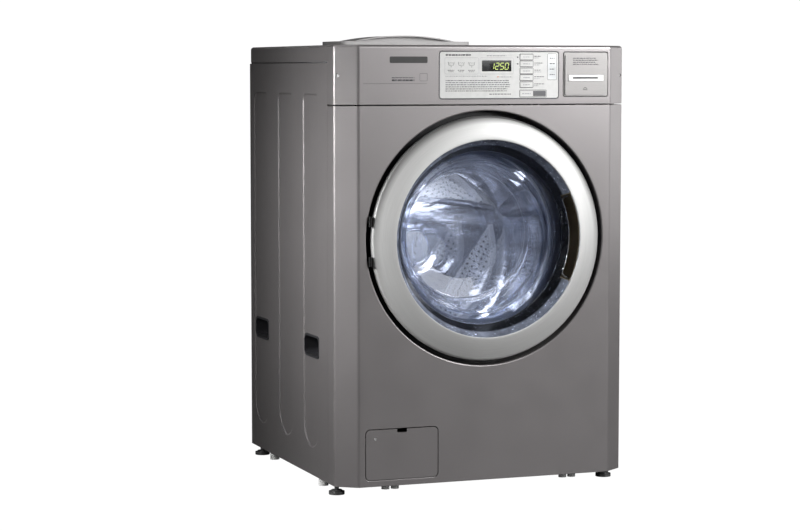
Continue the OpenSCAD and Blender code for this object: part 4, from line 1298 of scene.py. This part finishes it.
def overlay():
    holes = [rectangle_mm(*DISPLAY, 1.5, 4)]
    holes += [rectangle_mm(*around(key, 0.4), 1.2, 3) for key in (*KEYS, START)]
    loop = rectangle_mm(*around(OVERLAY, -0.3), 7.7, 8)
    sheet = Sheet()
    sheet.flat(loop, holes, on_front(FACE))
    for edge in [loop, *holes]:
        sheet.strip([facing(edge, d) for d in (FACE, 0.9)], closed=True)
    obj = sheet.build("overlay_plate", MAT["overlay"], 35, True, (0, -1, 0))
    place(obj, "cabinet", "overlay_film", "control_overlay")
    border = Sheet()
    frame_loop(border, *around(OVERLAY, -0.4), 7.4, 2.4, FACE - 0.06)
    print_piece("overlay_border", border, MAT["border"])
    dark, light = Sheet(), Sheet()
    rng = random.Random(7)
    top = FACE - 0.05
    # two outlined groups
    frame_loop(light, -99, -20, 920, 956, 3, 0.6, top)
    frame_loop(light, -17, 63, 920, 956, 3, 0.6, top)
    for x in (-84, -60.5, -36):
        basin_mark(dark, x, 943, top)
        frame_loop(dark, x - 1.2, x + 1.2, 934.8, 937.2, 1.15, 0.5, top)
        dash_row(dark, rng, x - 8, x + 8, 928.4, 1.5, top, 2, 5)
        dash_row(dark, rng, x - 6, x + 6, 925.2, 1.3, top, 2, 5)
    dash_row(dark, rng, -97, -38, 961.5, 3.2, top, 3, 8)
    dash_row(light, rng, 0, 46, 960, 1.7, top, 3, 7)
    dash_row(light, rng, -97, 2, 915.5, 1.6, top, 2, 6)
    dash_row(light, rng, 30, 60, 914, 1.8, top, 2, 6)
    for z in (906, 901.5, 897, 892.5, 888, 883.5):
        dash_row(dark, rng, -97, 60 - rng.uniform(0, 20), z, 1.6, top, 2, 8)
    dash_row(dark, rng, 6, 58, 876.5, 1.8, top, 3, 8)
    for key, z in zip(KEYS, BUTTON_Z):
        dash_row(dark, rng, 113, 113 + rng.uniform(14, 24), z + 1.8, 1.5, top, 3, 7)
        dash_row(light, rng, 113, 113 + rng.uniform(10, 20), z - 2.2, 1.3, top, 3, 7)
        frame_loop(dark, *around(key, 1.5), 2.2, 1.0, top)
    frame_loop(dark, *around(START, 1.5), 2.2, 1.0, top)
    for z in (957, 942.5):
        dash(dark, 71.4, 74.6, z - 1.5, z + 1.5, top)
    # status window on the right
    frame_loop(dark, 144, 167, 907, 965, 3, 0.7, top)
    for z in (955, 943, 931, 919):
        dash_row(dark, rng, 150, 162, z, 1.6, top, 3, 6)
    print_piece("overlay_print_dark", dark, MAT["ink"])
    print_piece("overlay_print_light", light, MAT["ink_light"])
    plate("status_window", 145.5, 165.5, 908.5, 963.5, 2, FACE - 0.03, 0.2, MAT["status"])
    plate("fault_lamp", 24.6, 27.4, 912.8, 915.6, 1.3, FACE - 0.5, 0.2, MAT["lamp"])
    plate("start_button_dark_half", 109.5, 140, 871.7, 883.3, 1, KEY_FACE, -1.4, MAT["ink"],
          "start_button", "button_plastic")
    rest = Sheet()
    for z in BUTTON_Z:
        dash_row(rest, rng, 86, 102, z, 1.6, KEY_FACE, 3, 6)
    dash_row(rest, rng, 84, 104, START_Z, 2, KEY_FACE, 4, 7)
    split_print_to_buttons(rest)


def split_print_to_buttons(sheet):
    """Gives each button its own bars, so that they travel with it."""
    targets = [("cycle_button_%d" % n, z) for n, z in enumerate(BUTTON_Z, 1)] + [("start_button", START_Z)]
    for body, z in targets:
        part = Sheet()
        for face in sheet.faces:
            corners = [sheet.verts[i] for i in face]
            if abs(corners[0][2] / MM - z) < 5:
                part.add(corners, [(0, 1, 2, 3)])
        if part.faces:
            print_piece(body + "_print", part, MAT["ink_light"], "button_plastic", body)


def basin_mark(sheet, x, z, front):
    """A generic basin: an open trapezoid with a wavy filling line of small steps."""
    dash(sheet, x - 5, x + 5, z - 4, z - 3.2, front)
    for side in (-1, 1):
        a, b = (x + side * 5, z - 4), (x + side * 6.6, z + 3.4)
        sheet.add([(a[0] * MM, depth(front), a[1] * MM), ((a[0] + side * 0.9) * MM, depth(front), a[1] * MM),
                   ((b[0] + side * 0.9) * MM, depth(front), b[1] * MM), (b[0] * MM, depth(front), b[1] * MM)],
                  [(0, 1, 2, 3)])
    for k in range(5):
        rise = 0.7 if k % 2 else 0
        dash(sheet, x - 5 + 2 * k, x - 3 + 2 * k, z + 0.6 + rise, z + 1.3 + rise, front)


# the lit segments of each digit that is shown
SEGMENTS = {"0": "abcdef", "1": "bc", "2": "abged", "5": "afgcd"}


def display():
    """Four slanted seven-segment digits in the window."""
    lit, unlit = Sheet(), Sheet()
    width, height, line, slant = 7.6, 13.4, 1.25, 0.16
    for index, digit in enumerate("1250"):
        x = 8 + index * 11.4
        for name in "abcdefg":
            target = lit if name in SEGMENTS[digit] else unlit
            segment(target, name, x, 930.6, width, height, line, slant)
    print_piece("digits_lit", lit, MAT["digit"], "display_lens")
    print_piece("digits_unlit", unlit, MAT["digit_off"], "display_lens")


def segment(sheet, name, x, z, w, h, line, slant):
    ends = {
        "a": ((0, h), (w, h)), "g": ((0, h / 2), (w, h / 2)), "d": ((0, 0), (w, 0)),
        "f": ((0, h / 2), (0, h)), "b": ((w, h / 2), (w, h)), "e": ((0, 0), (0, h / 2)),
        "c": ((w, 0), (w, h / 2)),
    }[name]
    a, b = Vector(ends[0]), Vector(ends[1])
    along = (b - a).normalized()
    across = Vector((-along.y, along.x)) * line / 2
    a, b = a + along * 0.35, b - along * 0.35
    tip = along * line / 2
    outline = [a, a + tip + across, b - tip + across, b, b - tip - across, a + tip - across]
    sheet.add([((x + p.x + p.y * slant) * MM, depth(-0.28), (z + p.y) * MM) for p in outline],
              [tuple(range(6))])


def console_marks():
    """Plain name plate, badge outline and line on the left of the console."""
    plate("name_plate", -226, -139, 944, 958, 2.5, -0.5, 0.2, MAT["name"], slot="console_paint")
    marks = Sheet()
    rng = random.Random(11)
    frame_loop(marks, -157, -139, 905, 922, 2, 0.8, LABEL_FACE)
    dash_row(marks, rng, -221, -169, 912.4, 2.0, LABEL_FACE, 4, 9)
    dash_row(marks, rng, -221, -169, 907.0, 3.6, LABEL_FACE, 6, 12)
    dash(marks, -286, -140, 899.6, 900.3, LABEL_FACE)
    print_piece("console_print", marks, MAT["border"], "console_paint")


def reader_marks():
    marks = Sheet()
    rng = random.Random(5)
    for z in (955, 950.5, 946, 941.5):
        dash_row(marks, rng, 206, 270 - rng.uniform(0, 14), z, 1.7, READER_FACE, 3, 8)
    # an arch over a short bar, as a generic card sign
    for k in range(8):
        a0, a1 = math.pi * k / 8, math.pi * (k + 1) / 8
        corners = [(236 + r * math.cos(a), 886.5 + r * math.sin(a)) for r, a in
                   ((4.6, a0), (4.6, a1), (3.4, a1), (3.4, a0))]
        marks.add([(x * MM, depth(READER_FACE), z * MM) for x, z in corners], [(0, 1, 2, 3)])
    dash(marks, 231, 241, 885, 886.2, READER_FACE)
    print_piece("reader_print", marks, MAT["border"], "reader_plate")


# ---------- stage, lights and camera ----------


def camera_only(m, white):
    """Shows a staged surface as plain white to the camera, and as itself to every other ray."""
    glow = m.node("ShaderNodeEmission")
    glow.inputs["Strength"].default_value = 1.2
    path = m.node("ShaderNodeLightPath")
    share = m.node("ShaderNodeMath", operation="MULTIPLY")
    share.inputs[1].default_value = white
    m.links.new(path.outputs["Is Camera Ray"], share.inputs[0])
    mix = m.node("ShaderNodeMixShader")
    m.links.new(share.outputs[0], mix.inputs["Fac"])
    m.links.new(m.bsdf.outputs[0], mix.inputs[1])
    m.links.new(glow.outputs[0], mix.inputs[2])
    m.links.new(mix.outputs[0], m.nodes["Material Output"].inputs["Surface"])


def stage():
    m = Material("floor", (0.13, 0.13, 0.13), 0.6)
    camera_only(m, 0.85)
    rows = []
    for y, z in ((-9, 0), (2.2, 0), (3.0, 0.06), (3.6, 0.3), (4.0, 0.9), (4.1, 2), (4.1, 7)):
        rows.append([(x, y, z) for x in (-14, 14)])
    sheet = Sheet()
    sheet.strip(rows)
    obj = sheet.build("floor", m.made, 60, False, (0, 0, 1))


def area_light(name, location, target, size, power, spread=180):
    """A rectangular light that faces a target. Its spread is in degrees."""
    data = bpy.data.lights.new(name, "AREA")
    data.shape = "RECTANGLE"
    data.size, data.size_y = size
    data.energy = power
    data.spread = math.radians(spread)
    obj = link(name, data)
    obj.location = location
    obj.rotation_euler = (Vector(target) - Vector(location)).to_track_quat("-Z", "Y").to_euler()
    return obj


def lights():
    world = bpy.data.worlds.new("studio")
    bpy.context.scene.world = world
    world.use_nodes = True
    background = world.node_tree.nodes["Background"]
    background.inputs["Color"].default_value = (1, 1, 1, 1)
    background.inputs["Strength"].default_value = 0.04
    area_light("key", (2.4, -3.3, 2.2), (0.1, 0, 0.85), (2.9, 2.6), 130)
    area_light("upper_right", (0.95, -1.25, 1.45), (0.24, -0.34, 0.9), (0.45, 0.45), 2.7, 70)
    area_light("right_strip", (2.6, -0.25, 1.1), (0.32, -0.3, 0.85), (1.0, 1.4), 10)
    area_light("left_fill", (-3.4, -3.0, 1.0), (-0.3, -0.3, 0.6), (2.0, 2.0), 9)
    near = area_light("near_left", (-1.6, -0.34, 1.1), (-0.34, -0.34, 0.52), (0.5, 0.5), 5.2, 58)
    area_light("overhead", (-1.3, 0.2, 2.9), (-0.2, 0.1, 0.9), (2, 2), 12)
    lamp = area_light(
        "drum_lamp", (0, depth(150), DOOR_Z + 0.16), (0, depth(400), DOOR_Z - 0.08), (0.34, 0.2), 1.25, 116
    )
    lamp.data.shape = "ELLIPSE"
    for light in (near, lamp):
        light.visible_camera = False
        light.visible_transmission = False


LENS_MM = 102.74
CAMERA_MM = (-1921.3, -4623.5, 928.8)
CAMERA_DOWN = 4.892
CAMERA_TURN = -20.394


def camera():
    """Camera with its place in millimetres across, behind the front face and up, and angles in degrees."""
    data = bpy.data.cameras.new("camera")
    data.sensor_width = 36
    data.lens = LENS_MM
    data.clip_end = 60
    obj = link("camera", data)
    x, y, z = CAMERA_MM
    obj.location = (x * MM, depth(y), z * MM)
    obj.rotation_euler = (math.radians(90 - CAMERA_DOWN), 0, math.radians(CAMERA_TURN))
    bpy.context.scene.camera = obj


camera()
finish_kept_nodes()
front_panel()
console()
top_plate()
side_panel(1)
side_panel(-1)
door()
gasket()
drum()
overlay()
display()
console_marks()
reader_marks()
skirt_seam_shade()
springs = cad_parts["suspension_springs"].data.materials
springs.clear()
springs.append(MAT["spring"])
stage()
lights()
bpy.context.scene.view_settings.view_transform = "Standard"
